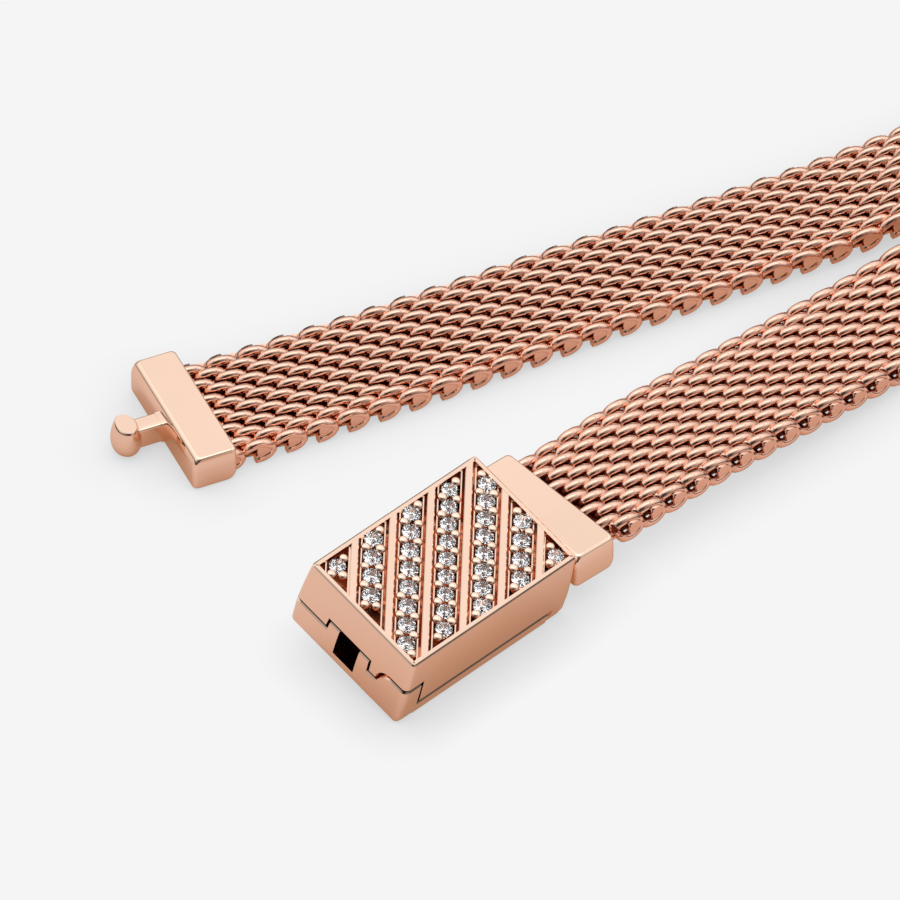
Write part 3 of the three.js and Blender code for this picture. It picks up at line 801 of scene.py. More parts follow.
@dataclass
class WovenBand:
    """The woven band: coils threaded through each other along the route.

    Args:
        route: the band's route.
        coil: the coil that repeats.
        first_spacing: middle of one coil to the next at the stud's cap.
        last_spacing: the same at the clasp's cap.
        pieces: how many plain meshes the band is split into.
    """

    route: BandRoute
    coil: WireCoil
    first_spacing: float = 1.0
    last_spacing: float = 0.895
    pieces: int = 3

    def tree(self) -> bpy.types.NodeTree:
        """Builds the node tree that threads coils along the route.

        Returns:
            The tree, with named inputs for the route, the spacing and the coils' share.
        """
        graph = shape_graph("coils_along_route", {
            "Geometry": "Geometry", "Route": "Object", "Material": "Material",
            "Hidden material": "Material", "First coil": "Int", "Coils": "Int",
            "Spacing": "Float", "Spacing change": "Float", "Stagger": "Float"})
        add, maths, vectors = graph.add, graph.maths, graph.vectors
        given = add("NodeGroupInput").outputs

        count = add("GeometryNodeMeshLine", {"Count": given["Coils"]}).outputs["Mesh"]
        number = maths("ADD", add("GeometryNodeInputIndex").outputs[0], given["First coil"])
        drift = maths("MULTIPLY", maths("MULTIPLY", number, number), given["Spacing change"])
        run = maths("ADD", maths("MULTIPLY", number, given["Spacing"]), drift)
        odd = maths("SUBTRACT", maths("MODULO", number, 2.0), 0.5)
        start = {"X": run, "Y": maths("MULTIPLY", odd, given["Stagger"])}
        start = add("ShaderNodeCombineXYZ", start).outputs[0]
        spread = add("GeometryNodeSetPosition", {"Geometry": count, "Position": start})
        coils = graph.copied(spread.outputs[0], given["Geometry"])

        flat = add("ShaderNodeSeparateXYZ", {0: add("GeometryNodeInputPosition").outputs[0]})
        along, off, above = flat.outputs
        route = add("GeometryNodeObjectInfo", {"Object": given["Route"]}).outputs["Geometry"]

        def sampled(field: str) -> bpy.types.NodeOutputs:
            """Reads the route at each vertex's run, with one field of the route's points."""
            inputs = {"Curves": route, "Length": along, "Value": add(field).outputs[0]}
            return add("GeometryNodeSampleCurve", inputs, mode="LENGTH", use_all_curves=True,
                       data_type="FLOAT").outputs

        leaned = sampled("GeometryNodeInputCurveTilt")
        narrowed = sampled("GeometryNodeInputRadius")
        level = vectors("MULTIPLY", leaned["Tangent"], (1.0, 1.0, 0.0))
        upright = add("ShaderNodeCombineXYZ", {"Z": 1.0}).outputs[0]
        left = vectors("CROSS_PRODUCT", upright, vectors("NORMALIZE", level))
        cosine, sine = (maths(wave, leaned["Value"], 0.0) for wave in ("COSINE", "SINE"))
        across = vectors("SUBTRACT", vectors("SCALE", left, cosine),
                         vectors("SCALE", upright, sine))
        face_up = vectors("ADD", vectors("SCALE", upright, cosine), vectors("SCALE", left, sine))
        offset = maths("MULTIPLY", off, narrowed["Value"])
        place = vectors("ADD", leaned["Position"], vectors("SCALE", across, offset))
        place = vectors("ADD", place, vectors("SCALE", face_up, above))
        bent = {"Geometry": coils, "Position": vectors("MULTIPLY", place, (MM, MM, MM))}
        bent = graph.real(add("GeometryNodeSetPosition", bent).outputs[0])
        # Marked faces get the dark finish: painted shade deep in the weave.
        hidden = add("GeometryNodeInputNamedAttribute", {"Name": HIDDEN}, data_type="BOOLEAN")
        bright = graph.painted(bent, given["Material"])
        shaded_coils = graph.painted(bright, given["Hidden material"], hidden.outputs["Attribute"])
        add("NodeGroupOutput", {0: shaded_coils})
        return graph.tree

    def build(self, shift: Vector, material: bpy.types.Material,
              painted_shade_finish: bpy.types.Material) -> list[bpy.types.Object]:
        """Weaves the band.

        Args:
            shift: the plan's origin in the part's frame.
            material: the wire's finish.
            painted_shade_finish: the dark finish of the wire deep in the weave, painted shade.

        Returns:
            The band's pieces, plain meshes that together replace the CAD ribbon.
        """
        tree = self.tree()
        line, length = self.route.curve(shift)
        total = int(length / ((self.first_spacing + self.last_spacing) / 2))
        values = {
            "Route": line, "Material": material, "Hidden material": painted_shade_finish,
            "Spacing": self.first_spacing,
            "Spacing change": (self.last_spacing - self.first_spacing) / (2 * (total - 1)),
            "Stagger": self.coil.travel / self.coil.turns / 2,
        }
        made = []
        for k in range(self.pieces):
            first = total * k // self.pieces
            values |= {"First coil": first, "Coils": total * (k + 1) // self.pieces - first}
            obj = self.coil.build()
            obj.name = f"woven_band_{k + 1}"
            made.append(grown(obj, tree, values))
        bpy.data.objects.remove(line)
        return made


# End caps


@dataclass
class EndCap:
    """The block that the weave ends in, with its neck. Its own frame has the band at +X.

    Args:
        length: along the band.
        width: across the band.
        height: from its underside to its top.
        swell: how far the front leans out under the top face.
        end_swell: the same for the two ends.
        swell_depth: how far down the leaning runs, as a share of the height.
        foot: rounding under the rear.
        base: rounding under the front and the two ends.
        edge: rounding round the top face, and along the neck.
        corner: rounding of the upright corners.
        neck_width: neck's width.
        neck_height: neck's height.
        neck_root: length of the thicker root where the neck leaves the cap.
        neck_step: how much thicker it is.
        neck_steps: steps in each corner of the neck's section.
    """

    length: float
    width: float = 9.2
    height: float = 2.27
    swell: float = 0.3
    end_swell: float = 0.14
    swell_depth: float = 0.4
    foot: float = 0.7
    base: float = 0.28
    edge: float = 0.15
    corner: float = 0.3
    neck_width: float = 1.16
    neck_height: float = 1.4
    neck_root: float = 0.22
    neck_step: float = 0.1
    neck_steps: int = 4

    @staticmethod
    def quarter(radius: float, depth: float) -> float:
        """Inset of a quarter-round edge.

        Args:
            radius: the edge's radius.
            depth: distance from the face that the edge starts at.

        Returns:
            The inset, nothing past the radius.
        """
        if depth >= radius:
            return 0.0
        return radius - math.sqrt(max(radius * radius - (radius - depth) ** 2, 0.0))

    def levels(self) -> list[float]:
        """Heights above the underside where the block's outline is drawn."""
        turn = 1 - np.cos(np.linspace(0, QUARTER, ARC_STEPS))
        lean = self.height * (1 - self.swell_depth * np.linspace(0, 1, ARC_STEPS))
        found = [*(turn * self.base), *(turn * self.foot), *(self.height - turn * self.edge), *lean]
        return sorted({round(float(z), 4) for z in found})

    def block(self) -> Shape:
        """The block's shape: leaning front, rounded rear foot, soft edges."""
        rings = []
        for under in self.levels():
            over = self.height - under
            share = min(over / (self.swell_depth * self.height), 1.0)
            lean = 1 - (1 - share) ** 2
            soft = self.quarter(self.edge, over)
            base = self.quarter(self.base, under)
            front = self.swell * lean - soft - base
            rear = -soft - self.quarter(self.foot, under)
            width = self.width + 2 * (self.end_swell * lean - soft - base)
            outline = rounded_outline(self.length + front + rear, width, self.corner, CORNER_STEPS)
            shift = Vector(((rear - front) / 2, 0, under - self.height / 2))
            rings.append([point + shift for point in outline])
        return lofted(rings)

    def bar(self, start: Vector, end: Vector, extra: float) -> Shape:
        """A length of the neck between two points.

        Args:
            start: middle of its first end.
            end: middle of its last end.
            extra: how much thicker it is than the neck.

        Returns:
            The bar's shape.
        """
        run = (end - start).normalized()
        side = UP.cross(run).normalized()
        rise = run.cross(side)
        section = rounded_outline(self.neck_width + extra, self.neck_height + extra, self.edge,
                                  self.neck_steps)
        return lofted([[point + side * p.x + rise * p.y for p in section]
                       for point in (start, end)])

    def build(self, name: str, place: Matrix, head: Vector, head_shape: Shape) -> bpy.types.Object:
        """Makes the cap with its neck and head.

        Args:
            name: the object's name.
            place: the cap's place in the part's frame.
            head: middle of the head, in the cap's own frame.
            head_shape: the head's shape round its own middle.

        Returns:
            The cap's object.
        """
        root = Vector((-self.length / 2, 0, 0))
        step = root + (head - root).normalized() * (self.swell + self.neck_root)
        bmesh.ops.translate(head_shape, verts=head_shape.verts, vec=head)
        neck = [self.bar(root, head, 0.0), self.bar(root, step, self.neck_step)]
        return joined(name, [self.block(), *neck, head_shape], place)


@dataclass(frozen=True)
class StudHead:
    """The head at the end of a neck: egg-shaped and oval, with a flat polished top.

    Args:
        length: along the neck.
        width: across the neck.
        height: foot to top.
        belly: height of its widest part above the middle, as a share of half the height.
        top_length: top face's length, as a share of the head's.
        top_width: top face's width, likewise.
        foot: foot's size, as a share of the head's.
        brow: rounding round the top face.
        sides: steps round.
        steps: steps from the foot to the belly, and from there to the top.
    """

    length: float = 1.8
    width: float = 2.1
    height: float = 2.05
    belly: float = -0.1
    top_length: float = 0.7
    top_width: float = 0.88
    foot: float = 0.45
    brow: float = 0.06
    sides: int = 48
    steps: int = 12

    def shape(self) -> Shape:
        """The head's closed shape round its own middle."""
        x, y, h = self.length / 2, self.width / 2, self.height / 2
        profile = []
        for a in np.linspace(0, QUARTER, self.steps):
            share = self.foot + (1 - self.foot) * math.sin(a)
            level = h * (self.belly - (1 + self.belly) * math.cos(a))
            profile.append((x * share, y * share, level))
        for rise in np.linspace(0, 1, self.steps)[1:]:
            bend = rise * rise
            level = h * (self.belly + (1 - self.belly) * rise) - self.brow * bend
            profile.append((x * (1 - (1 - self.top_length) * bend),
                            y * (1 - (1 - self.top_width) * bend), level))
        wide, deep, _ = profile[-1]
        profile.append((wide - self.brow, deep - self.brow, h))
        return lofted([oval(self.sides, *row) for row in profile])


# Box clasp


@dataclass
class BoxClasp:
    """The box clasp: case with its sunk, stone-set top, and the door under it.

    Its own frame has the slotted front at -X, the far side at +Y and the origin in its middle.

    Args:
        length: front to rear.
        width: near side to far side.
        height: underside to top.
        corner: upright corners of the top face.
        edge: rounding under it.
        bulge: how far the walls swell toward the underside.
        swell_level: where they stand out most, as a share of the height from the middle.
        swell_foot: how far below that level they would be flush again, likewise.
        swell_power: how fast the swelling falls off.
        lip: soft edge along the walls' upper and lower ends.
        wall: wall thickness.
        wall_rows: steps up a wall.
        wall_step: length of a step along a wall.
        parting: gap between case and door.
        rear_gap: gap between the door's rear face and the rear block.
        door_side: height of the door's side walls.
        door_front: depth of the door's front wall, round both corners.
        door_floor: thickness of the door's floor.
        rear_block: depth of the rear block that stays with the case.
        slot_width: slot for the stud.
        slot_height: the same, its height.
        slot_shift: slot's and tab's shift off the middle, to the far side.
        tab_width: width of the door's raised tab.
        tab_depth: tab's top edge, as a share of the height down from the top.
        shelf_depth: door's top edge beside the tab, likewise.
        crescent_depth: door's top edge at the near corner, likewise.
        crescent_width: how far that reaches in from the near side.
        mark_step: half the run of a step in that edge across the front.
        seam_step: the same along the sides.
        link_width: rear opening's width.
        link_floor: its lower edge, above the clasp's middle.
        link_top: its upper edge.
        rim: rim round the stones.
        recess: depth of the sunk field, and of its side.
        skirt: height over which the case's wall grows inward under the recess's side.
        skirt_drop: where that starts, below the deck.
        hollow_top: top of the hollow, below the clasp's top.
        deck_foot: the deck's underside, likewise.
        deck_spread: how much larger the deck is than the sunk field.
        seat_depth: depth of a stone's seat.
        seat_gap: gap round a stone in its seat.
        seat_sides: steps round a seat.
        bar: width of the bars between the rows.
        bar_bevel: soft edge of the bars.
        bar_drop: their tops below the rim, a hair that also tells the hollow from its walls.
        bar_reach: how far they run into the rim.
        bar_spacing: middle of one bar to the next, square to them.
        bar_count: how many bars there are.
        bar_shift: the pattern's middle, square to the bars.
        root: how deep the bars and ridges go into the deck.
        ridge_foot: half width of a bright-cut ridge at its foot.
        ridge_top: half width at its top.
        ridge_height: its height above the deck.
        ridge_reach: how far it runs into the rim.
        ridge_shortest: the shortest one worth cutting, measured along X and a little past the rim.
    """

    length: float = 13.0
    width: float = 8.7
    height: float = 5.7
    corner: float = 0.2
    edge: float = 0.4
    bulge: float = 0.26
    swell_level: float = -0.15
    swell_foot: float = 1.2
    swell_power: float = 1.5
    lip: float = 0.08
    wall: float = 0.95
    wall_rows: int = 8
    wall_step: float = 0.35
    parting: float = 0.16
    rear_gap: float = 0.3
    door_side: float = 1.2
    door_front: float = 1.12
    door_floor: float = 0.7
    rear_block: float = 1.0
    slot_width: float = 1.7
    slot_height: float = 2.1
    slot_shift: float = 0.15
    tab_width: float = 3.35
    tab_depth: float = 0.475
    shelf_depth: float = 0.6
    crescent_depth: float = 0.445
    crescent_width: float = 1.95
    mark_step: float = 0.03
    seam_step: float = 0.02
    link_width: float = 2.5
    link_floor: float = -1.8
    link_top: float = 0.5
    rim: float = 0.3
    recess: float = 0.45
    skirt: float = 0.2
    skirt_drop: float = 0.1
    hollow_top: float = 0.7
    deck_foot: float = 1.5
    deck_spread: float = 0.1
    seat_depth: float = 0.62
    seat_gap: float = 0.02
    seat_sides: int = 24
    bar: float = 0.45
    bar_bevel: float = 0.045
    bar_drop: float = 0.01
    bar_reach: float = 0.12
    bar_spacing: float = 2.15
    bar_count: int = 6
    bar_shift: float = 0.16
    root: float = 0.05
    ridge_foot: float = 0.07
    ridge_top: float = 0.04
    ridge_height: float = 0.24
    ridge_reach: float = 0.05
    ridge_shortest: float = 0.5

    def swell(self, z: float) -> float:
        """How far the outside stands out from the plain box at a height.

        Args:
            z: height above the clasp's middle.

        Returns:
            The outward offset, negative where the underside is rounded.
        """
        level = z / self.height - self.swell_level
        reach = 0.5 - self.swell_level if level > 0 else self.swell_foot
        swelling = self.bulge * (1 - (abs(level) / reach) ** self.swell_power)
        return swelling - EndCap.quarter(self.edge, z + self.height / 2)

    def perimeter(self) -> list[tuple[Vector, Vector]]:
        """Points round the outside, with steps at the door's edges.

        Returns:
            The points with their outward directions, counter-clockwise from the rear's near end.
        """
        half = Vector((self.length / 2, self.width / 2, 0))
        r = self.corner
        fronts = {y for gap in (0.0, self.parting) for y, _ in self.front_marks(gap)}
        seams = [-half.x + self.door_front, -half.x + self.door_front + self.parting,
                 half.x - self.rear_block, half.x - self.rear_block - self.rear_gap]
        rear = [-self.link_width / 2, self.link_width / 2]
        along = [x + side for x in seams for side in (-self.seam_step, self.seam_step)]
        across = [y for y in fronts if abs(y) < half.y - r]
        points = []
        for quarter, marks in enumerate((rear, along, across, along)):
            out = Vector(((1, 0, 0), (0, 1, 0), (-1, 0, 0), (0, -1, 0))[quarter])
            run = UP.cross(out)
            flush, reach, axis = (half.x, half.y - r, 1) if out.x else (half.y, half.x - r, 0)
            a, b = out * flush - run * reach, out * flush + run * reach
            span = (b - a).length
            steps = max(int(span / self.wall_step), 2)
            shares = set(np.linspace(0, 1, steps + 1)[:-1])
            shares |= {abs(mark - a[axis]) / span for mark in marks}
            points += [(a.lerp(b, share), out) for share in sorted(shares)]
            for turn in np.linspace(0, QUARTER, ARC_STEPS)[:-1] + quarter * QUARTER:
                round_out = Vector((math.cos(turn), math.sin(turn), 0))
                points.append((b - out * r + round_out * r, round_out))
        return points

    def depth_level(self, share: float) -> float:
        """Height of a share of the clasp's height, measured down from its top."""
        return self.height * (0.5 - share)

    def front_marks(self, gap: float) -> list[tuple[float, float]]:
        """The edge between door and case across the front.

        Args:
            gap: nothing for the door's edge, the parting gap for the case's.

        Returns:
            Distances to the far side with their heights.
        """
        step = self.mark_step
        tab_top, shelf, top = (self.depth_level(share) + gap for share in (
            self.tab_depth, self.shelf_depth, self.crescent_depth))
        near_shelf = shelf - self.parting
        far = self.slot_shift + self.tab_width / 2 + gap
        near = self.slot_shift - self.tab_width / 2 - gap
        crescent = -self.width / 2 + self.crescent_width + gap
        arc = [(crescent - self.crescent_width / 2 * (1 - math.cos(a)),
                near_shelf + (top - near_shelf) * math.sin(a))
               for a in np.linspace(0, QUARTER, ARC_STEPS + 1)]
        return [
            (self.width / 2, shelf), (far + step, shelf), (far - step, tab_top),
            (near + step, tab_top), (near - step, near_shelf),
            (crescent + step, near_shelf), *arc, (-self.width / 2, top),
        ]

    def seam(self, point: Vector, gap: float) -> float:
        """Height of the edge between door and case at a point of the outside.

        Args:
            point: a point of the clasp's outline.
            gap: nothing for the door's edge, the parting gap for the case's.

        Returns:
            The height above the clasp's middle.
        """
        low = -self.height / 2
        if point.x > self.length / 2 - self.rear_block:
            return low
        if point.x > -self.length / 2 + self.door_front + gap:
            return low + self.door_side + gap
        marks = sorted(self.front_marks(gap))
        return float(np.interp(point.y, [y for y, _ in marks], [z for _, z in marks]))

    def wall_shape(self, points: Sequence[tuple[Vector, Vector]], lower: Callable[[Vector], float],
                   upper: Callable[[Vector], float], inside: Callable[[float, float], list],
                   closed: bool) -> Shape:
        """A wall that follows the clasp's outside between two edges, with its thickness.

        Args:
            points: points of the outline with their outward directions.
            lower: height of the wall's lower edge at a point of the outline.
            upper: height of its upper edge.
            inside: heights and insets of the inner side, top to bottom, for the two edges.
            closed: True for a wall that runs all the way round.

        Returns:
            The closed wall.
        """
        bm = bmesh.new()
        lip, loops = self.lip, []
        for point, out in points:
            low, high = lower(point), upper(point)
            levels = np.linspace(low + lip, high - lip, self.wall_rows + 1)[1:-1]
            column = [(low, lip), (low + lip, 0.0), *((z, 0.0) for z in levels),
                      (high - lip, 0.0), (high, lip)]
            outer = [(z, self.swell(z) - inset) for z, inset in column]
            inner = [(z, -inset) for z, inset in inside(low, high)]
            loops.append([bm.verts.new(point + out * offset + UP * z)
                          for z, offset in outer + inner])
        for k, after in around(len(loops))[:None if closed else -1]:
            for i, j in around(len(loops[0])):
                bm.faces.new((loops[k][i], loops[after][i], loops[after][j], loops[k][j]))
        if not closed:
            bm.faces.new(loops[0])
            bm.faces.new(loops[-1][::-1])
        return bm

    def case_wall(self) -> Shape:
        """The case's wall, rim and the side of the sunk field, all the way round."""
        top = self.height / 2

        def lower(point: Vector) -> float:
            """The case's lower edge, a gap above the door, and over the link at the rear."""
            rear = point.x > self.length / 2 - self.corner
            linked = rear and abs(point.y) < self.link_width / 2 - MM
            return self.link_top if linked else self.seam(point, self.parting)

        def inside(low: float, high: float) -> list:
            """Rim, side of the recess, then the hollow's side."""
            drop = high - self.recess - self.skirt_drop
            return [(high, self.rim), (drop, self.rim), (drop - self.skirt, self.wall),
                    (low, self.wall)]

        return self.wall_shape(self.perimeter(), lower, lambda point: top, inside, True)

    def slotted(self, wall: Shape) -> Shape:
        """Cuts the stud's slot through the door's front wall.

        Args:
            wall: the door's closed wall, which is freed.

        Returns:
            The cut wall.
        """
        top = self.depth_level(self.tab_depth)
        half = self.slot_width / 2
        low = (-self.length / 2 - self.wall, self.slot_shift - half, top - self.slot_height)
        high = (-self.length / 2 + 2 * self.wall, self.slot_shift + half, top + self.wall)
        cutter = lofted(box_rings(low, high))
        for shape in (wall, cutter):
            bmesh.ops.recalc_face_normals(shape, faces=shape.faces)
        body, tool = object_from_bmesh("slotted_wall", wall), object_from_bmesh("slot", cutter)
        cut = body.modifiers.new("slot", "BOOLEAN")
        cut.operation, cut.solver, cut.object = "DIFFERENCE", "EXACT", tool
        plain = settled(body)
        bm = bmesh.new()
        bm.from_mesh(plain.data)
        for spent in (plain, tool):
            bpy.data.objects.remove(spent)
        return bm

    def paint_hollow_shade(self, obj: bpy.types.Object, place: Matrix, outside: bpy.types.Material,
                    painted_shade_lining: bpy.types.Material) -> None:
        """Gives the case or the door its metal, with the lining inside the clasp's hollow, darker
        as painted shade.

        Args:
            obj: the case or the door.
            place: the clasp's place in the part's frame.
            outside: the metal.
            painted_shade_lining: the lining's finish, whose darker colour is painted shade.
        """
        for material in (outside, painted_shade_lining):
            obj.data.materials.append(material)
        back = place.inverted()
        inset = self.wall - self.bar_drop
        half_x, half_y = self.length / 2 - inset, self.width / 2 - inset
        # Faces inside the hollow get the lining: painted shade.
        for face in obj.data.polygons:
            x, y, z = back @ face.center
            if abs(x) < half_x and abs(y) < half_y and z < self.height / 2 - self.hollow_top:
                face.material_index = 1

    def door_shapes(self) -> list[Shape]:
        """The door's slotted walls and its floor."""
        under = -self.height / 2
        rear = self.length / 2 - self.rear_block - self.rear_gap
        points = [pair for pair in self.perimeter() if pair[0].x < rear + self.seam_step / 2]
        ends = [i for i, (point, _) in enumerate(points)
                if point.x > rear - 2 * self.seam_step and point.y > 0]
        points = points[ends[0]:] + points[:ends[0]]
        wall = self.wall_shape(points, lambda point: under, lambda point: self.seam(point, 0.0),
                               lambda low, high: [(high, self.wall), (low, self.wall)], False)
        inset = self.edge - self.lip
        half = self.width / 2 - inset
        floor = box_rings((-self.length / 2 + inset, -half, under),
                          (rear, half, under + self.door_floor))
        return [self.slotted(wall), lofted(floor)]

    def bar_offsets(self) -> list[float]:
        """Middles of the bars, measured square to them from the clasp's middle."""
        middle = (self.bar_count - 1) / 2
        return [self.bar_shift + self.bar_spacing * (k - middle) for k in range(self.bar_count)]

    def lane_ends(self, offset: float, margin: float = 0.0) -> tuple[Vector, Vector]:
        """The two ends of a diagonal lane through the sunk field.

        Args:
            offset: the lane's middle, measured square to the bars.
            margin: how far past the field's edge to run.

        Returns:
            The near end and the far end.
        """
        half_x = self.length / 2 - self.rim + margin
        half_y = self.width / 2 - self.rim + margin
        shift = offset * math.sqrt(2)
        start, end = max(-half_x, -half_y + shift), min(half_x, half_y + shift)
        return Vector((start, start - shift, 0)), Vector((end, end - shift, 0))

    def lane_shape(self, offset: float, section: Stops, margin: float) -> Shape:
        """A bar along a lane, whose ends are cut parallel with the rim.

        Args:
            offset: the lane's middle, measured square to the bars.
            section: its section, as distances to the side with heights.
            margin: how far past the field's edge it runs.

        Returns:
            The bar.
        """
        return lofted([[self.lane_ends(offset - u, margin)[end] + UP * z for u, z in section]
                       for end in (0, 1)])

    def bars(self) -> list[Shape]:
        """The bars between the rows of stones, their tops a hair under the rim."""
        top, bevel, half = self.height / 2 - self.bar_drop, self.bar_bevel, self.bar / 2
        foot = top - self.recess - self.root
        section = [(-half, foot), (half, foot), (half, top - bevel), (half - bevel, top),
                   (-half + bevel, top), (-half, top - bevel)]
        return [self.lane_shape(offset, section, self.bar_reach) for offset in self.bar_offsets()]

    def ridges(self, rows: Sequence[float], reach: float) -> list[Shape]:
        """Bright-cut ridges along both sides of every row.

        Args:
            rows: middles of the rows, measured square to the bars.
            reach: distance from a row's middle to its ridges.

        Returns:
            The ridges' shapes.
        """
        floor = self.height / 2 - self.recess
        foot, top = floor - self.root, floor + self.ridge_height
        section = [(-self.ridge_foot, foot), (self.ridge_foot, foot),
                   (self.ridge_top, top), (-self.ridge_top, top)]
        shapes = []
        for offset in (row - sign * reach for row in rows for sign in (-1, 1)):
            near, far = self.lane_ends(offset, 2 * self.ridge_reach)
            if (far - near).x >= self.ridge_shortest:
                shapes.append(self.lane_shape(offset, section, self.ridge_reach))
        return shapes

    def deck(self, stones: Sequence["SetStone"]) -> Shape:
        """The floor of the sunk field, with a tapered seat under every stone.

        Args:
            stones: the stones that it holds.

        Returns:
            The closed slab.
        """
        top, under = self.height / 2 - self.recess, self.height / 2 - self.deck_foot
        spread = self.deck_spread - 2 * self.rim
        flat = [p.xy for p in rounded_outline(self.length + spread, self.width + spread,
                                              self.corner, CORNER_STEPS)]
        outline = list(range(len(flat)))
        edges = around(len(flat))
        seats = []
        for stone in stones:
            reach = stone.radius + self.seat_gap
            seats.append([len(flat) + i for i in range(self.seat_sides)])
            edges += [(seats[-1][i], seats[-1][j]) for i, j in around(self.seat_sides)]
            x, y = stone.place.xy
            turns = np.linspace(0, 4 * QUARTER, self.seat_sides, endpoint=False)
            flat += [Vector((x + reach * math.cos(a), y + reach * math.sin(a))) for a in turns]
        points, _, faces, origins, _, _ = delaunay_2d_cdt(flat, edges, [], 1, 1e-6)
        bm = bmesh.new()
        verts = [bm.verts.new((p.x, p.y, top)) for p in points]
        renamed = {old: verts[new] for new, olds in enumerate(origins) for old in olds}
        for face in faces:
            middle = sum((points[i] for i in face), Vector((0, 0))) / len(face)
            if all((middle - stone.place.xy).length > stone.radius for stone in stones):
                bm.faces.new([verts[i] for i in face])
        for stone, seat in zip(stones, seats):
            point = bm.verts.new((stone.place.x, stone.place.y, top - self.seat_depth))
            for i, j in around(len(seat)):
                bm.faces.new((renamed[seat[i]], renamed[seat[j]], point))
        rim = [renamed[i] for i in outline]
        lower = [bm.verts.new((v.co.x, v.co.y, under)) for v in rim]
        for i, j in around(len(rim)):
            bm.faces.new((lower[i], lower[j], rim[j], rim[i]))
        bm.faces.new(lower[::-1])
        return bm


@dataclass(frozen=True)
class StoneRow:
    """One diagonal row of stones.

    Args:
        count: how many stones it has.
        start: first stone, as a share of the lane from its near end.
        end: last stone, as a share of the lane.
        size: stone's size, as a share of the usual one.
    """

    count: int
    start: float
    end: float
    size: float


@dataclass(frozen=True)
class SetStone:
    """A stone in its seat.

    Args:
        node: the CAD node that it replaces.
        row: its row.
        index: its number in the row.
        last: the row's last number.
        place: middle of its girdle, in the clasp's frame.
        radius: girdle's radius.
    """

    node: str
    row: int
    index: int
    last: int
    place: Vector
    radius: float


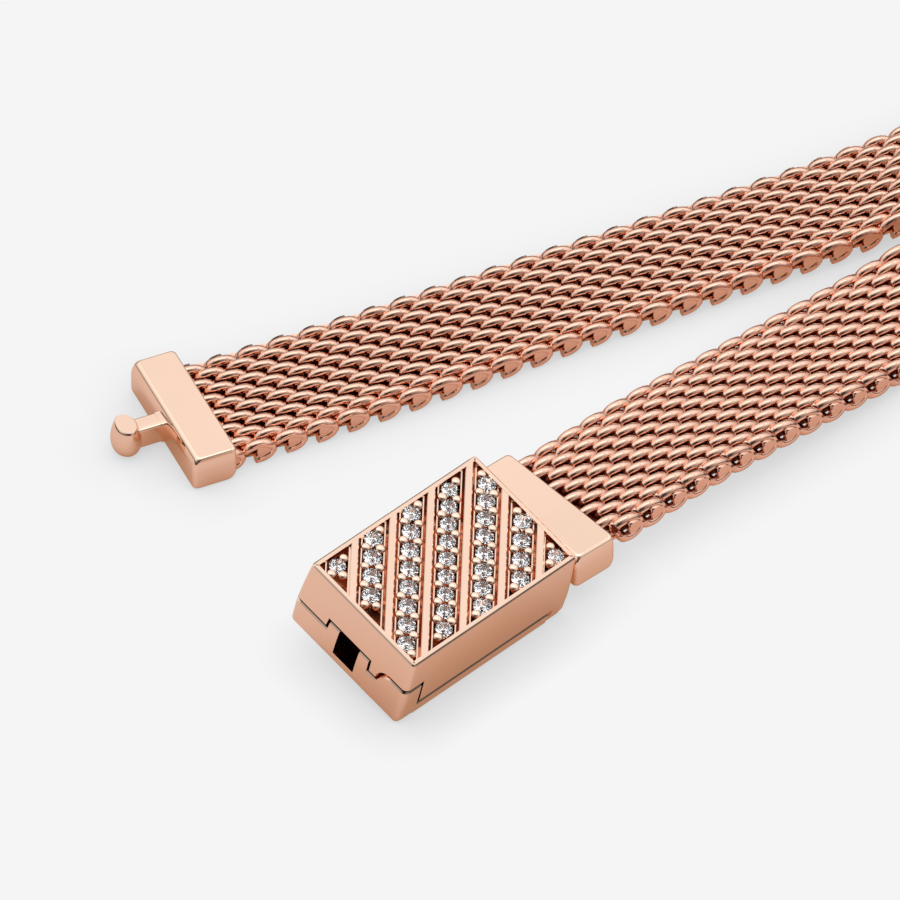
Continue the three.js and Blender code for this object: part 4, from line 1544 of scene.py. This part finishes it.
@dataclass
class StoneField:
    """The stones on the clasp and the grains that hold them.

    Args:
        clasp: the clasp that carries them.
        rows: the rows, front to rear.
        diameter: usual size of a stone.
        facets: main facets of its crown.
        table: table's width, as a share of the stone's.
        waist: width and height of the crown's middle ring, as shares of the stone and the crown.
        crown: girdle to table.
        pavilion: girdle to point.
        halves: width and depth of the pavilion's middle ring, likewise.
        girdle: girdle's thickness.
        rise: tables above the bars.
        end_lane: middle of the corner lanes past the last bar, as a share of the bars' spacing.
        ridge_gap: from a usual stone's girdle to the middle of the ridge beside it.
        grain: radius of a grain.
        grain_sides: steps round a grain.
        grain_sizes: smallest and largest grain, as shares of the usual one.
        grain_spread: how far a pair's grains lie off the row's middle.
        end_reach: last stone of a row to the grains past it, as a share of both radii together.
        end_grain: how much of the grain's radius counts in that.
        end_spread: how far they lie off the row's middle.
        margin: the least distance from the middle of a grain to the rim.
        seed: seed for the stones' turns and the grains' sizes.
    """

    clasp: BoxClasp
    rows: Sequence[StoneRow] = (
        StoneRow(1, 0.61, 0.61, 0.94),
        StoneRow(4, 0.26, 0.9, 1.03),
        StoneRow(8, 0.072, 0.938, 1.0),
        StoneRow(9, 0.081, 0.933, 0.93),
        StoneRow(8, 0.076, 0.938, 1.0),
        StoneRow(4, 0.15, 0.87, 1.0),
        StoneRow(1, 0.5, 0.5, 0.88),
    )
    diameter: float = 1.08
    facets: int = 8
    table: float = 0.56
    waist: tuple[float, float] = (0.79, 0.52)
    crown: float = 0.17
    pavilion: float = 0.44
    halves: tuple[float, float] = (0.24, 0.79)
    girdle: float = 0.04
    rise: float = 0.02
    end_lane: float = 0.87
    ridge_gap: float = 0.12
    grain: float = 0.29
    grain_sides: int = 16
    grain_sizes: tuple[float, float] = (0.94, 1.06)
    grain_spread: float = 0.42
    end_reach: float = 0.82
    end_grain: float = 0.8
    end_spread: float = 0.33
    margin: float = 0.12
    seed: int = 7

    def row_offsets(self) -> list[float]:
        """Middles of the rows, measured square to the bars."""
        bars = self.clasp.bar_offsets()
        reach = self.clasp.bar_spacing * self.end_lane
        low, high = [bars[0] - reach, *bars], [*bars, bars[-1] + reach]
        return [(a + b) / 2 for a, b in zip(low, high)]

    def stones(self) -> list[SetStone]:
        """Every stone's place and size, row by row."""
        girdle_z = self.clasp.height / 2 + self.rise - self.crown
        found = []
        for r, (row, offset) in enumerate(zip(self.rows, self.row_offsets())):
            near, far = self.clasp.lane_ends(offset)
            last, radius = row.count - 1, self.diameter / 2 * row.size
            for i in range(row.count):
                part = i / last if last else 0.0
                place = near.lerp(far, row.start + (row.end - row.start) * part)
                place.z = girdle_z
                found.append(SetStone(f"stone_{r + 1}_{i + 1}", r, i, last, place, radius))
        return found

    def brilliant(self, radius: float, turn: float) -> Shape:
        """A round brilliant cut, with its full set of crown and pavilion facets.

        Args:
            radius: girdle's radius.
            turn: turn about its own axis.

        Returns:
            The closed stone.
        """
        bm = bmesh.new()
        few, many = self.facets, 2 * self.facets
        deep = self.pavilion * radius / (self.diameter / 2)

        def ring(count: int, share: float, z: float, offset: float) -> list[bmesh.types.BMVert]:
            """One ring of the cut, turned by a share of its step."""
            start = turn + offset * 4 * QUARTER / count
            return [bm.verts.new(p) for p in oval(count, radius * share, radius * share, z, start)]

        table = ring(few, self.table, self.crown, 0.0)
        waist = ring(few, self.waist[0], self.crown * self.waist[1], 0.5)
        upper = ring(many, 1.0, 0.0, 0.0)
        lower = ring(many, 1.0, -self.girdle, 0.0)
        halves = ring(few, self.halves[0], -self.girdle - deep * self.halves[1], 0.5)
        point = bm.verts.new((0, 0, -self.girdle - deep))
        bm.faces.new(table)
        for k in range(few):
            g, h = ([row[(2 * k + i) % many] for i in range(3)] for row in (upper, lower))
            for face in (
                    (table[k], waist[k], table[(k + 1) % few]),
                    (table[k], waist[k - 1], g[0], waist[k]),
                    (waist[k], g[0], g[1]), (waist[k], g[1], g[2]),
                    (h[0], halves[k], h[1]), (h[1], halves[k], h[2]),
                    (h[0], halves[k - 1], point, halves[k])):
                bm.faces.new(face)
        for i, j in around(many):
            bm.faces.new((upper[i], lower[i], lower[j], upper[j]))
        bmesh.ops.recalc_face_normals(bm, faces=bm.faces)
        return bm

    def grain_places(self) -> list[Vector]:
        """Middles of the grains: pairs between neighbours and at the rows' ends."""
        along, square = Vector((1, 1, 0)).normalized(), Vector((-1, 1, 0)).normalized()
        stones = self.stones()
        places = []
        for stone, after in zip(stones, stones[1:] + [None]):
            if after is not None and after.row == stone.row:
                middle = (stone.place + after.place) / 2
                places += [middle + square * side * self.grain_spread for side in (-1, 1)]
            reach = (stone.radius + self.grain * self.end_grain) * self.end_reach
            for at_end, sign in ((stone.index == 0, -1), (stone.index == stone.last, 1)):
                if at_end:
                    end = stone.place + along * sign * reach
                    places += [end + square * side * self.end_spread for side in (-1, 1)]
        half_x = self.clasp.length / 2 - self.clasp.rim - self.margin
        half_y = self.clasp.width / 2 - self.clasp.rim - self.margin
        floor = self.clasp.height / 2 - self.clasp.recess
        inside = [p for p in places if abs(p.x) < half_x and abs(p.y) < half_y]
        return [Vector((p.x, p.y, floor)) for p in inside]

    def grain_shape(self) -> Shape:
        """One grain: a smooth bead that stands on the deck, by radii and heights of its profile."""
        profile = [(0.9, -0.1), (1.0, 0.5), (1.0, 1.0), (0.92, 1.24), (0.74, 1.4), (0.45, 1.49),
                   (0.15, 1.52)]
        size = self.grain
        return lofted([oval(self.grain_sides, r * size, r * size, z * size) for r, z in profile])

    def grain_tree(self) -> bpy.types.NodeTree:
        """Builds the node tree that stands a grain on every point.

        Returns:
            The tree, with named inputs for the grain, the sizes and the seed.
        """
        graph = shape_graph("grains_on_points", {
            "Geometry": "Geometry", "Grain": "Object", "Material": "Material",
            "Smallest": "Float", "Largest": "Float", "Seed": "Int"})
        given = graph.add("NodeGroupInput").outputs
        grain = graph.add("GeometryNodeObjectInfo", {"Object": given["Grain"]})
        sizes = {2: given["Smallest"], 3: given["Largest"], "Seed": given["Seed"]}
        size = graph.add("FunctionNodeRandomValue", sizes).outputs[1]
        beads = graph.copied(given["Geometry"], grain.outputs["Geometry"], size)
        graph.add("NodeGroupOutput", {0: graph.painted(beads, given["Material"])})
        return graph.tree

    def grains(self, place: Matrix, material: bpy.types.Material) -> bpy.types.Object:
        """Makes all the grains as one plain mesh.

        Args:
            place: the clasp's place in the part's frame.
            material: the grains' finish.

        Returns:
            The grains' object.
        """
        shape = self.grain_shape()
        bmesh.ops.transform(shape, matrix=place.to_3x3().to_4x4(), verts=shape.verts)
        grain = object_from_bmesh("one_grain", shape)
        points = bpy.data.meshes.new("grain_points")
        points.from_pydata([place @ p for p in self.grain_places()], [], [])
        plain = grown(mesh_object("grains", points), self.grain_tree(), {
            "Grain": grain, "Material": material, "Smallest": self.grain_sizes[0],
            "Largest": self.grain_sizes[1], "Seed": self.seed})
        bpy.data.objects.remove(grain)
        return plain


# Studio


@dataclass
class Studio:
    """A pale floor, soft light and the camera. Its lengths are in metres.

    Args:
        azimuth: camera's azimuth in degrees, 0 looking along +Y.
        elevation: camera's height above the horizon, in degrees.
        distance: camera to the middle of the picture.
        picture: width of the picture at that middle.
        sensor: camera's sensor width, in millimetres.
        clip: nearest and farthest distance that the camera sees.
        floor_size: half of the floor's side.
        floor_colour: the floor's pale grey, linear.
        painted_reflection_near: the floor's colour in the metal close to it: a painted reflection,
            warm brown and darker with shade.
        painted_reflection_far: the same farther away.
        painted_reflection_reach: how far that painted warm reflection reaches.
        painted_reflection_from: share of open sky where it is strongest.
        shadow_reach: how far a shadow reaches from what stands on the floor.
        shadow_depth: the floor's brightness in the deepest shadow, as a share.
        samples: rays that feel for the shadow, and for the painted warm reflection.
        height_stops: brightness of the surround by height, as the sine of the elevation.
        camera_stops: its brightness by the cosine of the angle to the camera.
        flag_scale: size of the dark cards that the stones show, per unit of direction.
        flag_stops: brightness of those cards and the light between them.
        panel_size: softbox's side.
        panel_distance: softbox to the middle of the picture.
        panel_folds: how many folds of its cloth there are per metre.
        panel_contrast: the folds' range that its brightness follows.
        panel_levels: its lowest and highest brightness.
    """

    azimuth: float = -32.5
    elevation: float = 43.6
    distance: float = 1.0
    picture: float = 900 / 17.2 * MM
    sensor: float = 36.0
    clip: tuple[float, float] = (0.01, 20.0)
    floor_size: float = 3.0
    floor_colour: float = 0.913
    painted_reflection_near: Colour = (0.6, 0.36, 0.24)
    painted_reflection_far: Colour = (0.78, 0.65, 0.6)
    painted_reflection_reach: float = 0.009
    painted_reflection_from: float = 0.5
    shadow_reach: float = 0.0035
    shadow_depth: float = 0.6
    samples: tuple[int, int] = (24, 6)
    height_stops: Stops = (
        (0.0, 0.08), (0.16, 0.14), (0.34, 0.7), (0.6, 1.0), (0.72, 1.15), (0.8, 1.6),
        (0.845, 1.02), (0.88, 1.02), (0.93, 2.2), (1.0, 2.2))
    camera_stops: Stops = (
        (0.0, 1.0), (0.45, 1.0), (0.7, 0.5), (0.85, 0.26), (0.925, 0.2), (0.94, 0.02), (1.0, 0.02))
    flag_scale: float = 1.6
    flag_stops: Stops = ((0.0, 0.0), (0.5, 0.005), (0.53, 2.2), (1.0, 2.4))
    panel_size: float = 0.11
    panel_distance: float = 0.25
    panel_folds: float = 26.0
    panel_contrast: tuple[float, float] = (0.15, 0.85)
    panel_levels: tuple[float, float] = (0.95, 1.18)

    def back(self) -> Vector:
        """Direction from the object to the camera."""
        a, e = math.radians(self.azimuth), math.radians(self.elevation)
        return Vector((math.sin(a) * math.cos(e), -math.cos(a) * math.cos(e), math.sin(e)))

    def camera(self, middle: Vector) -> None:
        """Makes the camera.

        Args:
            middle: the point at the picture's middle.
        """
        data = bpy.data.cameras.new("camera")
        data.sensor_width = self.sensor
        data.lens = self.sensor * self.distance / self.picture
        data.clip_start, data.clip_end = self.clip
        obj = mesh_object("camera", data)
        obj.location = middle + self.back() * self.distance
        obj.rotation_mode = "QUATERNION"
        obj.rotation_quaternion = (-self.back()).to_track_quat("-Z", "Y")
        bpy.context.scene.camera = obj

    @staticmethod
    def sheet(name: str, finish: str, corners: Iterable[Vector]) -> Graph:
        """Sets up a flat sheet of the studio.

        Args:
            name: the sheet's name.
            finish: its material's name.
            corners: its corners.

        Returns:
            The material's node tree, still without a surface.
        """
        bm = bmesh.new()
        bm.faces.new([bm.verts.new(corner) for corner in corners])
        obj = object_from_bmesh(name, bm)
        material, graph = shaded(finish)
        graph.tree.nodes.remove(graph.tree.nodes["Principled BSDF"])
        obj.data.materials.append(material)
        return graph

    def floor(self) -> None:
        """Makes the glowing pale floor, with a painted tight soft shadow and painted warm brown
        reflections.
        """
        size = self.floor_size
        corners = [Vector((size * x, size * y, 0.0)) for x, y in SQUARE]
        graph = self.sheet("floor", "pale_floor", corners)
        near, wide = (
            graph.add("ShaderNodeAmbientOcclusion", {"Distance": reach}, samples=rays).outputs["AO"]
            for reach, rays in zip((self.shadow_reach, self.painted_reflection_reach), self.samples))
        # Metal sees the floor warm brown and darker near things: a painted reflection.
        away = graph.ranged(wide, {"From Min": self.painted_reflection_from})
        warm = graph.mixed(away, (*self.painted_reflection_near, 1.0), (*self.painted_reflection_far, 1.0))
        bounced = graph.mirrored(graph.add("ShaderNodeLightPath").outputs)
        graph.glow({"Color": graph.mixed(bounced, opaque(self.floor_colour), warm),
                    "Strength": graph.ranged(near, {"To Min": self.shadow_depth})})

    def softbox(self, middle: Vector) -> None:
        """Makes the large soft panel that the flat tops mirror, uneven as a cloth panel is.

        Args:
            middle: the point at the picture's middle.
        """
        back = self.back()
        toward = Vector((-back.x, -back.y, back.z))
        turn = toward.to_track_quat("Z", "Y").to_matrix() * (self.panel_size / 2)
        centre = middle + toward * self.panel_distance
        corners = [centre + turn @ Vector((x, y, 0)) for x, y in SQUARE]
        graph = self.sheet("softbox", "soft_panel", corners)
        names = ("From Min", "From Max", "To Min", "To Max")
        limits = dict(zip(names, (*self.panel_contrast, *self.panel_levels)))
        cloth = graph.cloud(self.panel_folds, detail=0.0)
        graph.glow({"Strength": graph.ranged(cloth, limits, interpolation_type="SMOOTHERSTEP")})

    def world(self) -> None:
        """Makes the surround: bright overhead, dark at the horizon and where the camera stands."""
        world = bpy.data.worlds.new("studio")
        bpy.context.scene.world = world
        world.use_nodes = True
        graph = Graph(world.node_tree)
        out = graph.add("ShaderNodeTexCoord").outputs["Generated"]
        height = graph.add("ShaderNodeSeparateXYZ", {0: out}).outputs["Z"]
        toward = graph.add("ShaderNodeVectorMath", {0: out, 1: self.back()},
                           operation="DOT_PRODUCT").outputs["Value"]
        bands = graph.mixed(1.0, graph.ramp(height, self.height_stops),
                            graph.ramp(toward, self.camera_stops), blend_type="MULTIPLY")
        paths = graph.add("ShaderNodeLightPath").outputs
        seen = graph.mixed(graph.mirrored(paths), opaque(1.0), bands)
        cards = graph.ramp(graph.cloud(self.flag_scale, coords="Generated"), self.flag_stops)
        sky = graph.mixed(paths["Is Transmission Ray"], seen, cards)
        graph.feed(world.node_tree.nodes["Background"].inputs["Color"], sky)

    def build(self, middle: Vector) -> None:
        """Makes the camera, the floor and the light.

        Args:
            middle: the point at the picture's middle.
        """
        self.camera(middle)
        self.floor()
        self.softbox(middle)
        self.world()
        scene = bpy.context.scene
        scene.view_settings.view_transform, scene.view_settings.look = "Standard", "None"
        scene.cycles.max_bounces = 16
        scene.cycles.transmission_bounces = 12
        scene.cycles.glossy_bounces = 8


# The whole bracelet


@dataclass
class Bracelet:
    """The whole bracelet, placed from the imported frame.

    Args:
        stud_cap: the stud cap's place.
        clasp_cap: the clasp cap's place.
        stud_cap_length: the stud cap's length along the band.
        clasp_cap_length: the clasp cap's length.
        clasp: the clasp's place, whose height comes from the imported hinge.
        pin_inset: hinge pin's inset from the clasp's rear and from its underside.
        neck: length of the stud's neck.
        link_head: size of the head inside the clasp.
        overlap: how far the stud goes over the end of its neck, and the gap behind the link's head.
        tuck: how far the band's ends stay from the caps' outer faces.
        route_rows: the band's chosen points between the caps.
    """

    stud_cap: Place = Place(-12.17, 9.47, 1.135, -8.6)
    clasp_cap: Place = Place(-0.11, -10.19, 2.735, 8.5)
    stud_cap_length: float = 2.5
    clasp_cap_length: float = 2.75
    clasp: Place = Place(-9.07, -12.66, 0.0, 11.6, 15.7)
    pin_inset: float = 0.55
    neck: float = 1.72
    link_head: float = 1.7
    overlap: float = 0.08
    tuck: float = 0.35
    route_rows: Sequence[RouteRow] = (
        RouteRow(0.3, 7.85, 0, 0, 0.4),
        RouteRow(12, 6.62, 0.5, 0, 0.9),
        RouteRow(23.5, 5.24, 2, 0, 1),
        RouteRow(31.2, 4.46, 4, 0, 1),
        RouteRow(37, 4.25, 18, 0, 1),
        RouteRow(42.5, 4.8, 46, 0, 0.9),
        RouteRow(48, 6.35, 74, 0, 0.8),
        RouteRow(53.5, 8.6, 88, 0, 0.8),
        RouteRow(59.5, 9.6, 90, 0, 0.8),
        RouteRow(66.3, 6.8, 90, 0, 0.8),
        RouteRow(69.1, 0, 90, 0, 0.8),
        RouteRow(66.3, -6.8, 90, 0, 0.8),
        RouteRow(59.5, -9.6, 90, 0, 0.8),
        RouteRow(53.5, -8.6, 88, 0, 0.8),
        RouteRow(48, -6.45, 74, 0, 0.8),
        RouteRow(42.5, -5.0, 46, 0, 0.7),
        RouteRow(37, -4.55, 18, 0, 0.6),
        RouteRow(31.2, -4.9, 4, 0.05, 0.5),
        RouteRow(25.3, -5.8, 1, 0.4, 0.4),
        RouteRow(14.4, -7.6, 0, 1.4, 0.2),
        RouteRow(8.2, -8.65, 0, 1.85, 0.1),
    )

    def shift_and_clasp(self, frame: dict, clasp: BoxClasp) -> tuple[Vector, Matrix]:
        """Reads the plan's shift and the clasp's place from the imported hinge.

        Args:
            clasp: the clasp, for its sizes.

        Returns:
            The plan's origin in the part's frame, and the clasp's place in it.
        """
        turn = self.clasp.turn()
        pin = Vector((clasp.length / 2 - self.pin_inset, 0, -clasp.height / 2 + self.pin_inset))
        middle = Vector(frame["joints"][0]["pos_m"]) / MM - turn @ pin
        shift = Vector((middle.x - self.clasp.x, middle.y - self.clasp.y, 0))
        return shift, Matrix.Scale(MM, 4) @ Matrix.Translation(middle) @ turn

    def route(self) -> BandRoute:
        """The band's route, with both ends tucked into the caps: one on the floor, one lifted."""
        ends = []
        for place, length in ((self.stud_cap, self.stud_cap_length),
                              (self.clasp_cap, self.clasp_cap_length)):
            tuck, a = length / 2 - self.tuck, math.radians(place.heading)
            lift = place.z - BandRoute.thickness / 2 if place is self.clasp_cap else 0.0
            ends.append(RouteRow(place.x + tuck * math.cos(a), place.y + tuck * math.sin(a),
                                 0, lift, 0))
        return BandRoute([ends[0], *self.route_rows, ends[1]])

    def caps(self, shift: Vector, clasp: BoxClasp, clasp_place: Matrix,
             metal: bpy.types.Material) -> None:
        """Makes both end caps with their necks and heads.

        Args:
            shift: the plan's origin in the part's frame.
            clasp: the clasp that one of them is linked to.
            clasp_place: its place.
            metal: their finish.
        """
        head, cap = StudHead(), EndCap(self.stud_cap_length)
        at = Vector((-cap.length / 2 - self.neck - head.length / 2 + self.overlap, 0, 0))
        stud = cap.build("stud_cap", self.stud_cap.matrix(shift), at, head.shape())
        dress(stud, metal, Slot.METAL, node="stud_end_cap")
        place = self.clasp_cap.matrix(shift)
        behind = clasp.length / 2 - clasp.wall - self.link_head / 2 - self.overlap
        at = Vector((behind, 0, (clasp.link_floor + clasp.link_top) / 2))
        at = place.inverted() @ (clasp_place @ at)
        ball = StudHead(*[self.link_head] * 3).shape()
        link = EndCap(self.clasp_cap_length).build("linked_cap", place, at, ball)
        dress(link, metal, Slot.METAL, node="clasp_end_cap")

    def build(self, frame: dict) -> None:
        """Makes and dresses every piece.
        """
        finishes = Finishes()
        metal, weave, glass, painted_shade_lining, painted_weave_shade = (finish.build() for finish in (
            finishes.plate, finishes.weave, finishes.stone, finishes.painted_shade_lining, finishes.painted_weave_shade))
        clasp = BoxClasp()
        shift, place = self.shift_and_clasp(frame, clasp)
        Studio().build(Vector((shift.x, shift.y, 0)) * MM)
        for piece in WovenBand(self.route(), WireCoil()).build(shift, weave, painted_weave_shade):
            dress(piece, weave, Slot.WEAVE, node="mesh_band")
        self.caps(shift, clasp, place, metal)

        stones = StoneField(clasp)
        placed = stones.stones()
        ridges = clasp.ridges(stones.row_offsets(), stones.diameter / 2 + stones.ridge_gap)
        case = joined("case", [clasp.case_wall(), *clasp.bars(), *ridges], place)
        clasp.paint_hollow_shade(case, place, metal, painted_shade_lining)
        dress(case, metal, Slot.METAL, node="clasp_case")
        # The deck is all lining: painted shade under the stones.
        deck = joined("deck", [clasp.deck(placed)], place)
        dress(deck, painted_shade_lining, Slot.METAL, node="clasp_case")
        door = joined("door", clasp.door_shapes(), place)
        clasp.paint_hollow_shade(door, place, metal, painted_shade_lining)
        dress(door, metal, Slot.METAL, Body.DOOR, "clasp_door")
        dress(stones.grains(place, metal), metal, Slot.METAL)
        rng = np.random.default_rng(stones.seed)
        for stone in placed:
            shape = stones.brilliant(stone.radius, float(rng.uniform(0, QUARTER / 2)))
            bmesh.ops.translate(shape, verts=shape.verts, vec=stone.place)
            bmesh.ops.transform(shape, matrix=place, verts=shape.verts)
            cut = object_from_bmesh(f"cut_{stone.node}", shape, smooth=False)
            dress(cut, glass, Slot.STONE, node=stone.node)
        pin = frame["nodes"]["hinge_pin"]
        pin.data.materials.clear()
        pin.data.materials.append(metal)


def main() -> None:
    logging.basicConfig(level=logging.INFO, format="%(message)s")
    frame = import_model()
    Bracelet().build(frame)
    bpy.context.view_layer.update()


if __name__ == "__main__":
    main()
